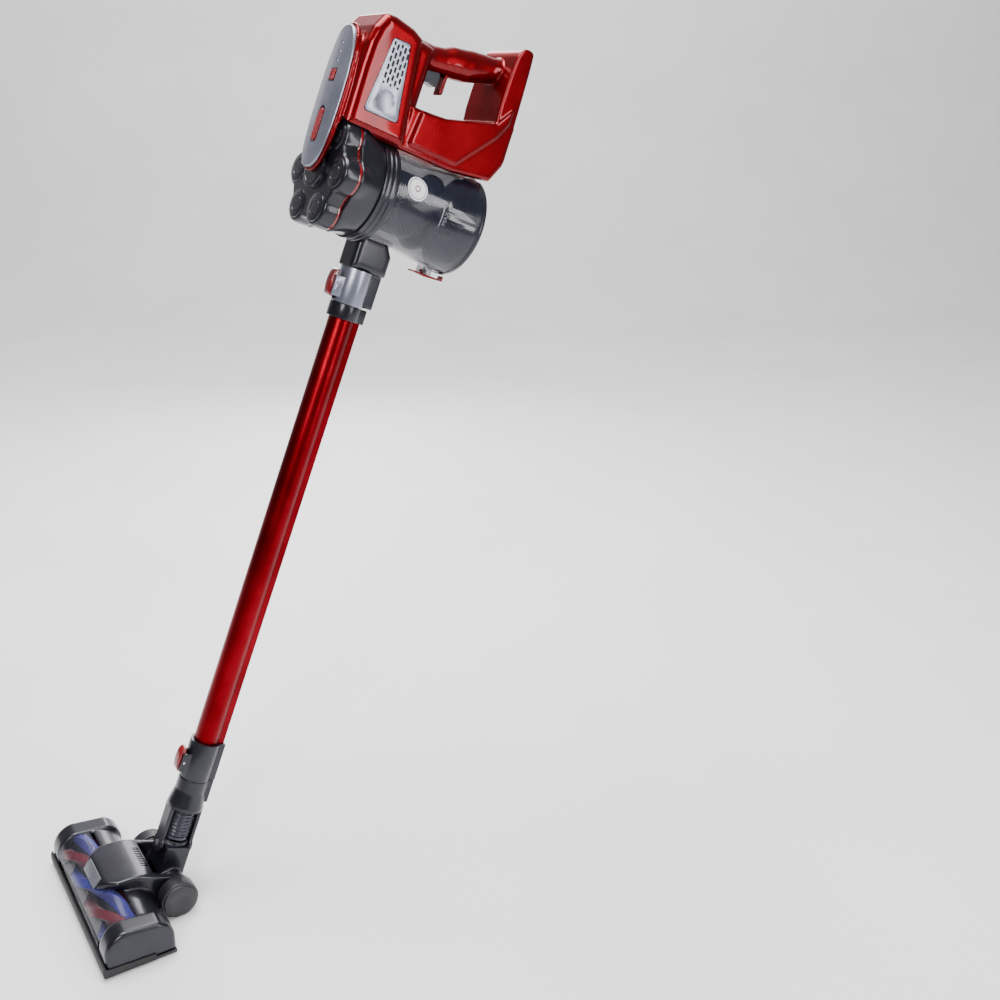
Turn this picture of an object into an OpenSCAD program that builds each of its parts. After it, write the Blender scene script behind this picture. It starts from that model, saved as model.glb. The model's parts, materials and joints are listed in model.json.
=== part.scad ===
// Cordless upright stick vacuum cleaner, standing with its floor head flat on the floor.
// Millimetres. Row frame: Z up, X across the floor head, front of the head towards -Y,
// the user stands at +Y, origin on the floor under the middle of the brush housing.

/* [Show] */
// Piece to show, or all

/* [Stance] */
// Backward lean of the wand from the vertical, in degrees
lean = 21.6; // [12:0.1:30]

/* [Hand unit] */
// Outside width of the hand unit's body
body_width = 84; // [70:1:101]
// Wall thickness of the moulded body shells
body_wall = 2.5; // [2:0.1:3]
// Width of the hand grip, side to side
grip_width = 34; // [28:1:41]
// Depth of the hand grip, front to back
grip_depth = 33; // [27:1:38]
// Thickness of the silver top panel
panel_thickness = 5; // [4:0.5:7]
// Thickness of the red beak that carries the panel over the cap
beak_thickness = 5; // [4:0.5:7]

/* [Dust cup] */
// Outside radius of the clear cup wall
cup_radius = 56; // [46:1:68]
// Wall thickness of the clear cup
cup_wall_thickness = 2.5; // [2:0.1:3]
// Length of the clear cup below the base ring
cup_length = 124; // [104:1:150]
// Radius of the perforated cyclone screen
screen_radius = 38; // [32:1:44]
// Height of the twist cap above the base ring
cap_height = 55; // [52:1:66]

/* [Wand] */
// Visible length of the wand tube between its collars
wand_length = 576; // [400:1:760]
// Outside radius of the wand tube
wand_radius = 16; // [15:0.5:19]
// Outside radius of the collars and of the nozzle sleeve
collar_radius = 20; // [20:0.5:24]
// Length of the lower collar
lower_collar_length = 52; // [50:1:63]

/* [Neck] */
// Distance from the pitch axis to the steering axis
steer_rise = 45; // [43:1:54]
// Radius of the drum that turns between the head's cheeks
drum_radius = 18; // [16:0.5:20]

/* [Floor head] */
// Length of the floor head, side to side
head_length = 248; // [205:1:300]
// Radius over the bristle tips of the brush roll
brush_radius = 25.5; // [21:0.5:26]
// Radius of the rear wheels, which is the height of the pitch axis
wheel_radius = 25; // [22:0.5:30]
// Width of each rear wheel
wheel_width = 22; // [18:1:27]

/* [Hidden] */
$fn = 96;
hw = body_width / 2;
t = body_wall;
// how much the cup moves the body back and the nozzle forward
grow = cup_radius - 56;
// radii of the cradle that the cup and the cap slide out of
cradle_r = cup_radius + 7;
cap_cradle_r = cup_radius + 15;
pitch_y = 46 + wheel_radius;
pitch_z = wheel_radius;
steer_z = -305 - wand_length - (lower_collar_length - 52);
collar_top = -154 - wand_length;
collar_end = collar_top - lower_collar_length;
beak_under = -98;
panel_seat = beak_under - beak_thickness;
panel_face = panel_seat - panel_thickness;
rocker_y = panel_seat + 2;
reach = steer_rise - steer_z + grow;
spigot_r = collar_radius - 3.8;
socket_r = collar_radius - 3.4;
motor_r = min(34, hw - t - 3);
hl = head_length / 2;
end_w = 30;
by = -14;
bz = 27;
chamber_r = 28;
window_r = 30.5;
cheek_in = 34.6;
cheek_out = 44;
pulley_x = -(hl - 13.5);
motor_y = 30;
motor_z = 22;

// ---------- frames ----------

// pitch axis frame: Z runs up the leaning wand
module at_pitch()
    translate([0, pitch_y, pitch_z])
    rotate([-lean, 0, 0])
    children();

// neck frame: origin on the steering axis
module at_neck()
    at_pitch()
    translate([0, 0, steer_rise])
    children();

// hand frame: origin where the nozzle axis meets the cup axis
module at_hand()
    at_pitch()
    translate([0, 0, reach])
    children();

// the body behind the cup, moved back when the cup grows
module at_body()
    at_hand()
    translate([0, 0, grow])
    children();

// the nozzle and wand, moved forward when the cup grows
module at_nozzle()
    at_hand()
    translate([0, 0, -grow])
    children();

// ---------- helpers ----------

// 2D drawing of y and z, thickened along X and centred
module along_x(w)
    rotate([90, 0, 90])
    linear_extrude(w, center = true)
    children();

// 2D drawing of radius and y, turned about the cup axis
module around_y()
    rotate([-90, 0, 0])
    rotate_extrude()
    children();

// 2D drawing of x and z, thickened from y0 by h towards -Y
module up_from(y0, h)
    translate([0, y0, 0])
    rotate([90, 0, 0])
    linear_extrude(h)
    children();

// cylinder along X, centred on x
module rod_x(x, y, z, r, len)
    translate([x, y, z])
    rotate([0, 90, 0])
    cylinder(h = len, r = r, center = true);

// cylinder along Y from y0 to y1
module rod_y(x, z, r, y0, y1)
    translate([x, y0, z])
    rotate([-90, 0, 0])
    cylinder(h = y1 - y0, r = r);

// cylinder along Z from z0 to z1
module rod_z(x, y, r, z0, z1)
    translate([x, y, z0])
    cylinder(h = z1 - z0, r = r);

// box from two corners
module box(a, b)
    translate(a)
    cube(b - a);

module rounded_rect(w, h, r) {
    square([w - 2 * r, h], center = true);
    square([w, h - 2 * r], center = true);
    for (sx = [-1, 1], sy = [-1, 1])
        translate([sx * (w / 2 - r), sy * (h / 2 - r)])
        circle(r);
}

// capsule across z0 to z1, x is its half width
module capsule(x, z0, z1) {
    translate([0, z0 + x])
    circle(x);
    translate([0, z1 - x])
    circle(x);
    translate([-x, z0 + x])
    square([2 * x, z1 - z0 - 2 * x]);
}

// ---------- hand unit body ----------

// side outlines of the body's parts, inset by i
module upper_side(i)
    polygon([[-98 + i, 53 + i], [-98 + i, 161 - 0.3 * i], [-84 + 0.7 * i, 190 - i],
             [-50 - 0.3 * i, 190 - i], [-24 - 0.3 * i, 181 - i],
             [-4 - i, 181 - i], [-4 - i, 53 + i]]);

module column_side(i)
    polygon([[-20, 53 + i], [57, 53 + i], [118 - 0.8 * i, 61 + i], [130 - i, 85 + 0.5 * i],
             [130 - i, 130 - i], [100, 128 - i], [32, 109 - i], [-4, 105 - i],
             [-20, 105 - i]]);

module base_side(i)
    polygon([[98 + i, 118], [98 + i, 206 - i], [104 + i, 219 - i], [112, 222 - i],
             [126 - 0.5 * i, 222 - i], [130 - i, 218 - i], [130 - i, 100], [112, 100]]);

module upper_section(i)
    polygon([[-33 - (hw - 42) + i, -98 + i], [33 + (hw - 42) - i, -98 + i],
             [hw - 3 - i, -88 + 0.4 * i], [hw - i, -74], [hw - i, -20], [hw - 3 - i, -4 - i],
             [-hw + 3 + i, -4 - i], [-hw + i, -20], [-hw + i, -74],
             [-hw + 3 + i, -88 + 0.4 * i]]);

module lower_section(i)
    polygon([[-hw + 3 + i, -20], [hw - 3 - i, -20], [hw - 3 - i, 117], [hw - 9 - i, 130 - i],
             [-hw + 9 + i, 130 - i], [-hw + 3 + i, 117]]);

module grip_bar(i)
    translate([0, 40, 176])
    rotate([14, 0, 0])
    translate([0, -54 + i, 0])
    rotate([-90, 0, 0])
    linear_extrude(122 - i)
    rounded_rect(grip_width - 2 * i, grip_depth - 2 * i, 12 - i);

module body_form(i) {
    intersection() {
        along_x(2 * hw)
            upper_side(i);
        linear_extrude(240)
            upper_section(i);
    }
    intersection() {
        along_x(2 * hw)
            column_side(i);
        linear_extrude(240)
            lower_section(i);
    }
    intersection() {
        along_x(2 * hw - 2)
            base_side(i);
        linear_extrude(240)
            lower_section(i + 1);
    }
    intersection() {
        grip_bar(i);
        box([-hw, -20, 120], [hw, 104, 210]);
    }
}

// space swept by the cup and the cap, drawn about the cup axis, grown by i
module cradle(i)
    translate([0, 0, -grow])
    around_y()
    polygon([[0, -160], [cap_cradle_r + i, -160], [cap_cradle_r + i, -64 + i],
             [cradle_r + i, -46 + i], [cradle_r + i, 100 + i], [cradle_r + 3 + i, 104 + i],
             [cradle_r + 3 + i, 160], [0, 160]]);

boss_spots = [[-80, 177], [66, 184], [114, 207], [112, 112], [2, 94]];

module boss_bars(r)
    for (p = boss_spots)
        rod_x(0, p[0], p[1], r, 2 * hw);

module body_hollow()
    difference() {
        body_form(t);
        cradle(t);
        intersection() {
            boss_bars(4);
            body_form(0);
        }
    }

module trigger_bosses()
    for (s = [-1, 1])
        rod_x(s * 11.6, 0, 160, 4, 7);

module vent_outline(i)
    polygon([[-79 + i, 77 + i], [-33 - i, 78 + i], [-45 - 0.6 * i, 163 - i],
             [-69 + i, 162 - i]]);

// holes through the beak and the panel for the rocker, the button and the lights
module control_holes() {
    up_from(-94, 30)
        capsule(6.4, 27.6 - grow, 68.4 - grow);
    up_from(-94, 30)
        translate([-6.4, 98.6])
        square([12.8, 12.8]);
    for (z = [122, 132, 142])
        rod_y(0, z, 1.6, -120, -94);
}

module whole_body() {
    // beak over the cap
    difference() {
        up_from(beak_under, beak_thickness)
            panel_plan(-3);
        control_holes();
        rod_x(0, rocker_y, 48 - grow, 1.2, 18);
    }
    difference() {
        body_form(0);
        cradle(0);
        body_hollow();
        control_holes();
        // screw holes with counterbores on the right-hand side
        boss_bars(1.6);
        for (p = boss_spots)
            rod_x(-hw, p[0], p[1], 3.2, 2 * screw_sink(p));
        // slot for the trigger
        box([-8.2, -3.6, 148], [8.2, 28, 166]);
        // side windows behind the vents, with a seat 1 mm deep
        along_x(3 * hw)
            vent_outline(4);
        for (s = [-1, 1])
            translate([s * hw, 0, 0])
            along_x(2)
                vent_outline(0);
        // air inlet from the cap to the motor
        rod_z(0, -52, 18.5, 40, 84);
        // charging jack
        rod_z(0, 116, 4.2, 205, 225);
    }
    // lip under the trigger
    difference() {
        box([-8, 28.5, 133], [8, 34, 160]);
        grip_bar(t);
        rod_x(0, 34, 133, 3, 20);
    }
    difference() {
        trigger_bosses();
        rod_x(0, 0, 160, 2, 40);
    }
}

// depth of a screw counterbore below the body's full width
function screw_sink(p) =
    p == boss_spots[1] ? hw - grip_width / 2 + 3 : (p[0] > 100 ? 8 : (p[0] > 0 ? 7 : 4));

module left_shell()
    color("firebrick")
    at_body()
    intersection() {
        whole_body();
        box([0, -120, 0], [hw + 5, 150, 240]);
    }

module right_shell()
    color("firebrick")
    at_body()
    intersection() {
        whole_body();
        box([-hw - 5, -120, 0], [0, 150, 240]);
    }

module panel_plan(i) {
    pw = 31 + (hw - 42) - i;
    intersection() {
        translate([0, 28 - grow])
        circle(pw);
        translate([-60, -60])
        square([120, 200]);
    }
    polygon([[-pw, 28 - grow], [pw, 28 - grow], [pw - 1, 150], [pw - 9, 166 - i],
             [-pw + 9, 166 - i], [-pw + 1, 150]]);
}

module top_panel()
    color("silver")
    at_body()
    difference() {
        union() {
            up_from(panel_seat, panel_thickness - 2)
                panel_plan(0);
            up_from(panel_seat, panel_thickness)
                panel_plan(2);
        }
        control_holes();
        // shallow finger dish round the lights
        translate([0, panel_face - 59, 132])
        sphere(60);
    }

module vent(s)
    color("silver")
    at_body()
    difference() {
        translate([s * (hw - 0.2), 0, 0])
        along_x(1.6)
            vent_outline(0);
        // staggered rows of slots
        for (row = [0:4])
            for (k = [0:5 - row % 2])
                translate([s * hw, -66.5 + row * 5.1 + (k * 0.6), 116 + k * 8.4 + (row % 2) * 4])
                translate([-4, -1.4, 0])
                cube([8, 2.8, 6]);
        // shallow scoop at the front
        translate([s * (hw + 28.9), -56, 96])
        sphere(30);
    }

module left_vent() vent(1);

module right_vent() vent(-1);

module motor_housing()
    color("dimgray")
    at_body()
    difference() {
        rod_z(0, -52, motor_r, 73.6, 118);
        rod_z(0, -52, motor_r - 2, 76, 120);
        rod_z(0, -52, 15, 70, 80);
    }

module motor_can()
    color("gray")
    at_body()
    difference() {
        union() {
            rod_z(0, -52, 20, 98, 144);
            rod_z(0, -52, motor_r - 2, 96, 98);
        }
        rod_z(0, -52, 2.55, 90, 150);
        rod_z(0, -52, 17, 101, 141);
        for (a = [0:60:300])
            translate([0, -52, 90])
            rotate([0, 0, a])
            translate([25, 0, 0])
            cylinder(h = 10, r = 3.5);
    }

module impeller()
    color("lightgray")
    at_body()
    difference() {
        union() {
            rod_z(0, -52, motor_r - 7, 90, 92);
            rod_z(0, -52, 6, 79, 92);
            rod_z(0, -52, 2.5, 78, 150);
            intersection() {
                translate([0, -52, 80])
                for (a = [0:45:315])
                    rotate([0, 0, a])
                    translate([4, 3, 0])
                    rotate([0, 0, 18])
                    cube([motor_r - 12, 1.4, 10]);
                rod_z(0, -52, motor_r - 7, 79, 92);
            }
        }
        rod_z(0, -52, 1, 70, 79.5);
    }

module battery_cells()
    color("steelblue")
    at_body()
    for (x = [-19.5, 0, 19.5], z = [75.4, 94.4])
        rod_y(x, z, 9.15, 20, 85);

module battery_board()
    color("seagreen")
    at_body() {
        box([-26, 85, 70], [26, 86.6, 104]);
        box([-10, 86.6, 80], [10, 90, 92]);
    }

module control_board()
    color("seagreen")
    at_body() {
        box([-22, -92.6, 74], [22, -91, 158]);
        box([-4, -95.4, 101], [4, -92.6, 109]);
    }

module status_lights()
    color("deepskyblue")
    at_body()
    for (z = [122, 132, 142])
        rod_y(0, z, 1.5, panel_face + 0.8, -92.6);

module trigger_switch()
    color("black")
    at_body()
    box([-5, 8, 168.5], [5, 20, 175]);

module body_pins()
    color("lightgray")
    at_body() {
        rod_x(0, 0, 160, 2, 28);
        rod_x(0, rocker_y, 48 - grow, 1.2, 17);
    }

module charge_jack()
    color("black")
    at_body()
    difference() {
        rod_z(0, 116, 4.2, 209, 222.4);
        rod_z(0, 116, 2.75, 212, 230);
    }

module body_screws()
    color("lightgray")
    at_body()
    for (p = boss_spots) {
        shank = hw - screw_sink(p) + 6;
        rod_x(-hw + screw_sink(p) + shank / 2, p[0], p[1], 1.55, shank);
        difference() {
            rod_x(-hw + screw_sink(p) - 1, p[0], p[1], 3.1, 2);
            translate([-hw + screw_sink(p) - 1.6, p[0], p[1]])
            cube([1.2, 0.9, 4], center = true);
        }
    }

module inlet_seal()
    color("black")
    at_body()
    difference() {
        rod_z(0, -52, 18.5, 70.7, 73.6);
        rod_z(0, -52, 15, 70, 75);
    }

module trigger()
    color("slategray")
    at_body()
    difference() {
        along_x(15)
            polygon([[-1, 139], [10, 141.5], [20, 140], [24, 142], [24, 152], [20, 163.5],
                     [-3, 163.5], [-3, 150]]);
        rod_x(0, 0, 160, 2.05, 20);
        rod_x(0, 10, 128, 13.6, 20);
    }

module mode_button()
    color("crimson")
    at_body()
    difference() {
        box([-6, panel_face - 1, 99], [6, -97, 111]);
        box([-3, panel_face - 2, 102], [3, panel_face - 0.6, 108]);
    }

module cup_release()
    color("crimson")
    at_body()
    difference() {
        union() {
            up_from(rocker_y - 0.2, panel_thickness + 2.6)
                capsule(6, 29.2 - grow, 66.8 - grow);
            rod_x(0, rocker_y, 48 - grow, 2.4, 9);
            box([-3.5, rocker_y - 1, 30 - grow], [3.5, -97.6, 33 - grow]);
        }
        rod_x(0, rocker_y, 48 - grow, 1.25, 20);
    }

// ---------- dust cup ----------

wall_in = cup_radius - cup_wall_thickness;
lid_y = cup_length - 14;

module cup_wall()
    color("lightgray", 0.4)
    at_hand()
    difference() {
        union() {
            around_y()
                polygon([[wall_in, -14], [cup_radius, -14], [cup_radius, 57],
                         [cup_radius + 2, 61], [cup_radius + 6.5, lid_y],
                         [wall_in + 6.5, lid_y], [wall_in + 2, 61], [wall_in, 57]]);
            // ears for the lid hinge
            for (s = [-1, 1])
                box([s > 0 ? 10.4 : -13.4, lid_y - 10, cup_radius + 0.5],
                    [s > 0 ? 13.4 : -10.4, lid_y + 6.5, cup_radius + 5]);
            // ears for the lid latch
            for (s = [-1, 1])
                box([s > 0 ? 6 : -9, lid_y - 24, -cup_radius - 13],
                    [s > 0 ? 9 : -6, lid_y - 12, -cup_radius - 3]);
        }
        rod_z(0, 0, 12.5, -cup_radius - 5, -cup_radius + 8);
        rod_x(0, lid_y + 4.2, cup_radius + 3.3, 1, 40);
        rod_x(0, lid_y - 18, -cup_radius - 10, 1.5, 40);
    }

module cup_ring()
    color("dimgray")
    at_hand()
    around_y()
    polygon([[screen_radius - 2, -20], [cup_radius + 1.5, -20], [cup_radius + 1.5, -34.7],
             [cup_radius + 6, -34.7], [cup_radius + 6, -31], [cup_radius + 5, -30],
             [cup_radius + 5, -28.5], [cup_radius + 6, -27.5], [cup_radius + 6, -24.5],
             [cup_radius + 5, -23.5], [cup_radius + 5, -22], [cup_radius + 6, -21],
             [cup_radius + 6, -15.5], [cup_radius + 4.8, -14.3], [cup_radius, -14.3],
             [cup_radius, -14], [screen_radius - 2, -14]]);

module nozzle()
    color("dimgray")
    at_nozzle()
    difference() {
        union() {
            intersection() {
                along_x(60)
                    polygon([[-19.4, -92], [33, -92], [33, -61], [24, -52], [21.4, -36],
                             [-14, -36], [-14, -56], [-19.4, -60]]);
                translate([0, 60, 0])
                rotate([90, 0, 0])
                linear_extrude(120)
                    polygon([[-20, -92], [20, -92], [17, -36], [-17, -36]]);
            }
            box([-9.5, 14, -135.6], [9.5, 33, -92]);
            // stiffening ribs over the throat
            for (z = [-66, -71, -76])
                box([-21, -8, z - 1], [21, 18, z + 1]);
        }
        rod_z(0, 0, 13, -100, -30);
        rod_z(0, 0, collar_radius, -150, -92);
        translate([0, 0, grow])
        rod_y(0, 0, cup_radius, -60, 100);
        translate([0, 0, grow])
        rod_y(0, 0, cup_radius + 6, -60, -14.3);
    }

module nozzle_sleeve()
    color("silver")
    at_nozzle()
    difference() {
        union() {
            rod_z(0, 0, collar_radius, -135.6, -92);
            latch_ears(-118);
        }
        rod_z(0, 0, socket_r, -140, -90);
        latch_cut(-118);
    }

// ears that carry a latch's pin on the front of a collar, centred on z
module latch_ears(z)
    for (s = [-1, 1])
        box([s > 0 ? 7.2 : -10, -collar_radius - 9.5, z - 12],
            [s > 0 ? 10 : -7.2, -collar_radius + 5, z + 12]);

module latch_cut(z) {
    rod_x(0, -collar_radius - 5.5, z, 1.5, 30);
    box([-4.6, -collar_radius - 4, z - 15], [4.6, 0, z - 9]);
}

// rocking latch: thumb pad, pivot barrel and a short tooth
module latch_lever(z)
    difference() {
        union() {
            along_x(13)
                polygon([[-collar_radius - 10.2, z - 14], [-collar_radius - 11, z],
                         [-collar_radius - 9.8, z + 19.5], [-collar_radius - 7, z + 19.5],
                         [-collar_radius - 7, z - 14]]);
            rod_x(0, -collar_radius - 5.5, z, 2.8, 13);
            box([-4, -collar_radius - 8, z - 14], [4, -collar_radius + 2.6, z - 10.5]);
        }
        rod_x(0, -collar_radius - 5.5, z, 1.55, 20);
    }

module cyclone_screen()
    color("slategray")
    at_hand()
    difference() {
        union() {
            rod_y(0, 0, screen_radius + 2, -14, -2);
            rod_y(0, 0, screen_radius, -2, 54);
        }
        rod_y(0, 0, screen_radius - 2, -15, 60);
        for (row = [0:5])
            for (a = [0:18:342])
                rotate([0, a + (row % 2) * 9, 0])
                rod_x(screen_radius, 6 + row * 8, 0, 2.6, 8);
    }

module cyclone_skirt()
    color("slategray")
    at_hand()
    around_y()
    polygon([[17.5, 69], [17.5, 66], [screen_radius - 3, 54], [screen_radius + 2, 54],
             [screen_radius + 9, 58], [screen_radius + 9, 64], [screen_radius + 7, 64],
             [screen_radius + 7, 59.4], [screen_radius + 1, 56.4], [screen_radius - 3, 56.6]]);

module centre_tube()
    color("slategray")
    at_hand()
    difference() {
        rod_y(0, 0, 17.5, 40, lid_y - 0.8);
        rod_y(0, 0, 15, 30, lid_y + 1);
    }

module cup_pins()
    color("lightgray")
    at_hand() {
        rod_x(0, lid_y + 4.2, cup_radius + 3.3, 1, 26.8);
        rod_x(0, lid_y - 18, -cup_radius - 10, 1.5, 18);
        translate([0, 0, -grow])
        rod_x(0, -collar_radius - 5.5, -118, 1.5, 20);
    }

cap_top = -35 - cap_height;

module lobes(i) {
    circle(cup_radius - i);
    for (a = [0:60:300])
        rotate([0, 0, a])
        translate([cup_radius - 8, 0])
        circle(22 + i);
}

module cap()
    color("dimgray")
    at_hand()
    difference() {
        union() {
            // flared skirt with six petals
            rod_y(0, 0, cup_radius + 4, -68.5, -35.1);
            for (a = [0:60:300])
                rotate([0, a, 0])
                translate([cup_radius - 8, -36, 0])
                rotate([90, 0, 0])
                cylinder(h = 33, r1 = 11, r2 = 21);
            // neck inside the coloured band
            rod_y(0, 0, cup_radius - 3, -73, -68);
            // six-lobed crown
            rod_y(0, 0, cup_radius, cap_top, -72);
            for (a = [0:60:300])
                rotate([0, a, 0]) {
                    rod_y(cup_radius - 8, 0, 22, cap_top + 0.5, -72.1);
                    rod_y(cup_radius - 8, 0, 12, cap_top - 1.6, cap_top + 2);
                }
            rod_y(0, 0, 20, cap_top - 6.4, cap_top + 2);
        }
        // hollow for the filter, with the port to the motor
        rod_y(0, 0, cup_radius - 6, cap_top + 4, -30);
        rod_z(0, -52, 13, 30, cup_radius + 20);
        for (a = [0:60:300])
            rotate([0, a, 0])
            rod_y(cup_radius - 8, 0, 8.5, cap_top - 3, cap_top - 0.6);
        rod_y(0, 0, 15, cap_top - 8, cap_top - 5.4);
    }

module cap_ring()
    color("crimson")
    at_hand()
    translate([0, -69, 0])
    rotate([90, 0, 0])
    linear_extrude(3)
    difference() {
        lobes(0.3);
        circle(cup_radius);
    }

module filter()
    color("whitesmoke")
    at_hand()
    difference() {
        union() {
            rod_y(0, 0, cup_radius - 14, cap_top + 4, -40);
            for (a = [0:15:345])
                rotate([0, a, 0])
                translate([cup_radius - 18, cap_top + 8, -1.5])
                cube([7, -52 - cap_top, 3]);
        }
        rod_y(0, 0, cup_radius - 30, cap_top + 8, -30);
    }

module cup_lid()
    color("gray")
    at_hand()
    difference() {
        union() {
            intersection() {
                around_y()
                    polygon([[0, lid_y + 0.4], [cup_radius + 7, lid_y + 0.4],
                             [cup_radius + 7, lid_y + 5], [cup_radius + 3, lid_y + 8], [0, lid_y + 8]]);
                box([-80, 0, -80], [80, 160, cup_radius + 1.6]);
            }
            rod_x(0, lid_y + 4.2, cup_radius + 3.3, 2.2, 20);
            box([-10, lid_y + 2, cup_radius - 4], [10, lid_y + 6.4, cup_radius + 3.3]);
        }
        rod_x(0, lid_y + 4.2, cup_radius + 3.3, 1.05, 40);
        for (s = [-1, 1])
            box([s > 0 ? 10 : -13.8, lid_y - 4, cup_radius - 1],
                [s > 0 ? 13.8 : -10, lid_y + 12, cup_radius + 8]);
        // dished centre
        translate([0, lid_y + 5.5, 0])
        rotate([-90, 0, 0])
        cylinder(h = 4, r1 = cup_radius - 12, r2 = cup_radius - 8);
    }

module lid_seal()
    color("black")
    at_hand()
    difference() {
        rod_y(0, 0, cup_radius + 1, lid_y - 2.5, lid_y + 0.4);
        rod_y(0, 0, cup_radius - 2, lid_y - 4, lid_y + 2);
    }

module cup_latch()
    color("crimson")
    at_hand()
    difference() {
        union() {
            along_x(11)
                polygon([[lid_y - 38, -cup_radius - 15], [lid_y - 18, -cup_radius - 16.5],
                         [lid_y + 10.5, -cup_radius - 15], [lid_y + 10.5, -cup_radius - 8.2],
                         [lid_y + 8.6, -cup_radius - 8.2], [lid_y + 8.6, -cup_radius - 13],
                         [lid_y - 38, -cup_radius - 13]]);
            rod_x(0, lid_y - 18, -cup_radius - 10, 2.8, 11);
            box([-5.5, lid_y - 20, -cup_radius - 14], [5.5, lid_y - 16, -cup_radius - 9]);
        }
        rod_x(0, lid_y - 18, -cup_radius - 10, 1.55, 20);
    }

module nozzle_latch()
    color("crimson")
    at_nozzle()
    latch_lever(-118);

// ---------- wand ----------

// outline of the wand tube with its wire channel
module tube_outline() {
    circle(wand_radius);
    translate([-9, 0])
    square([18, wand_radius + 6]);
}

module wand_tube()
    color("red")
    at_nozzle()
    translate([0, 0, collar_top - 9])
    linear_extrude(wand_length + 17)
    difference() {
        tube_outline();
        circle(wand_radius - 1.4);
        translate([-7.6, wand_radius + 0.6])
        square([15.2, 4]);
    }

module wand_wires()
    color("black")
    at_nozzle()
    for (x = [-3.5, 3.5])
        rod_z(x, wand_radius + 2.6, 1.6, collar_top - 8, -147);

module upper_collar()
    color("dimgray")
    at_nozzle()
    difference() {
        union() {
            rod_z(0, 0, collar_radius, -154, -136);
            rod_z(0, 0, spigot_r, -136, -100);
            box([-10.5, 0, -154], [10.5, collar_radius + 6, -136]);
        }
        rod_z(0, 0, spigot_r - 2.2, -160, -90);
        translate([0, 0, -160])
        linear_extrude(14)
            tube_outline();
    }

module lower_collar()
    color("dimgray")
    at_nozzle()
    difference() {
        union() {
            rod_z(0, 0, collar_radius, collar_end, collar_top);
            box([-10.5, 0, collar_end], [10.5, collar_radius + 5, collar_top]);
            latch_ears(collar_end + 22);
        }
        rod_z(0, 0, spigot_r - 2.2, collar_end - 5, collar_top + 5);
        rod_z(0, 0, socket_r, collar_end - 5, collar_end + 38);
        translate([0, 0, collar_top - 9])
        linear_extrude(20)
            tube_outline();
        latch_cut(collar_end + 22);
    }

module wand_pin()
    color("lightgray")
    at_nozzle()
    rod_x(0, -collar_radius - 5.5, collar_end + 22, 1.5, 20);

module wand_latch()
    color("crimson")
    at_nozzle()
    latch_lever(collar_end + 22);

// ---------- neck and yoke, drawn from the steering axis ----------

neck_top = 99;

module neck_tube()
    color("dimgray")
    at_neck()
    difference() {
        union() {
            rod_z(0, 0, spigot_r, neck_top - 0.6, neck_top + 34);
            rotate_extrude()
                polygon([[0, 55], [24, 55], [24, 60], [collar_radius, 80], [collar_radius, neck_top - 0.6],
                         [0, neck_top - 0.6]]);
            box([-10.5, 0, 66], [10.5, collar_radius + 5, neck_top - 0.6]);
            for (s = [-1, 1]) {
                rod_y(0, 0, 13, s > 0 ? 17.5 : -23, s > 0 ? 23 : -17.5);
                box([-10, s > 0 ? 17.5 : -23, 0], [10, s > 0 ? 23 : -17.5, 58]);
            }
        }
        rod_z(0, 0, 14, 50, 160);
        rotate_extrude()
            polygon([[0, 54], [17.5, 54], [17.5, 60], [14, 66], [0, 66]]);
        rod_y(0, 0, 4.05, -30, 30);
    }

module bellows()
    color("black")
    at_neck()
    rotate_extrude()
    difference() {
        union() {
            translate([12, 11.8])
            square([2.4, 52.6]);
            for (k = [0:8])
                translate([14.2, 15.6 + k * 5])
                circle(1.8, $fn = 24);
        }
        square([12, 80]);
    }

module steer_pins()
    color("lightgray")
    at_neck()
    for (s = [-1, 1])
        rod_y(0, 0, 4, s > 0 ? 13.4 : -23.6, s > 0 ? 23.6 : -13.4);

module yoke()
    color("dimgray")
    at_neck()
    difference() {
        union() {
            rod_x(0, 0, -steer_rise, drum_radius, 2 * cheek_in - 0.8);
            box([-22, -16.9, -steer_rise + 4], [22, 16.9, 4]);
            rod_y(0, 0, 11.5, -16.9, 16.9);
            rod_z(0, 0, 16.9, -10, 8);
            for (x = [-27, -22, -17, 17, 22, 27])
                rod_x(x, 0, -steer_rise, drum_radius + 1, 2);
        }
        rod_z(0, 0, 13, -steer_rise, 20);
        rod_x(0, 0, -steer_rise, drum_radius - 3.5, 60);
        // port towards the brush chamber
        box([-16, -30, -steer_rise - 8], [16, 0, -steer_rise + 8]);
        rod_x(0, 0, -steer_rise, 5.05, 100);
        rod_y(0, 0, 4, -30, 30);
    }

// ---------- floor head, drawn on the floor ----------

module head_side()
    union() {
        intersection() {
            translate([by, bz])
            circle(window_r);
            translate([by - window_r, 6])
            square([2 * window_r, window_r + bz]);
        }
        polygon([[by - window_r, 6], [by - window_r, bz], [by, bz + window_r],
                 [4, 56], [24, 48], [39, 35], [44.5, 20], [44.5, 6]]);
    }

module head_hollow_side()
    difference() {
        polygon([[6, 6], [6, 52.5], [22, 46], [37, 33.5], [42, 19.5], [42, 6]]);
        translate([by, bz])
        circle(window_r);
    }

module cheek_side()
    union() {
        translate([pitch_y, pitch_z])
        circle(wheel_radius - 3);
        polygon([[16, 6], [16, 60], [45, 57], [pitch_y - 4, pitch_z + wheel_radius - 3.4],
                 [pitch_y, pitch_z + wheel_radius - 3], [pitch_y, pitch_z - wheel_radius + 3],
                 [45, 6]]);
    }

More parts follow.
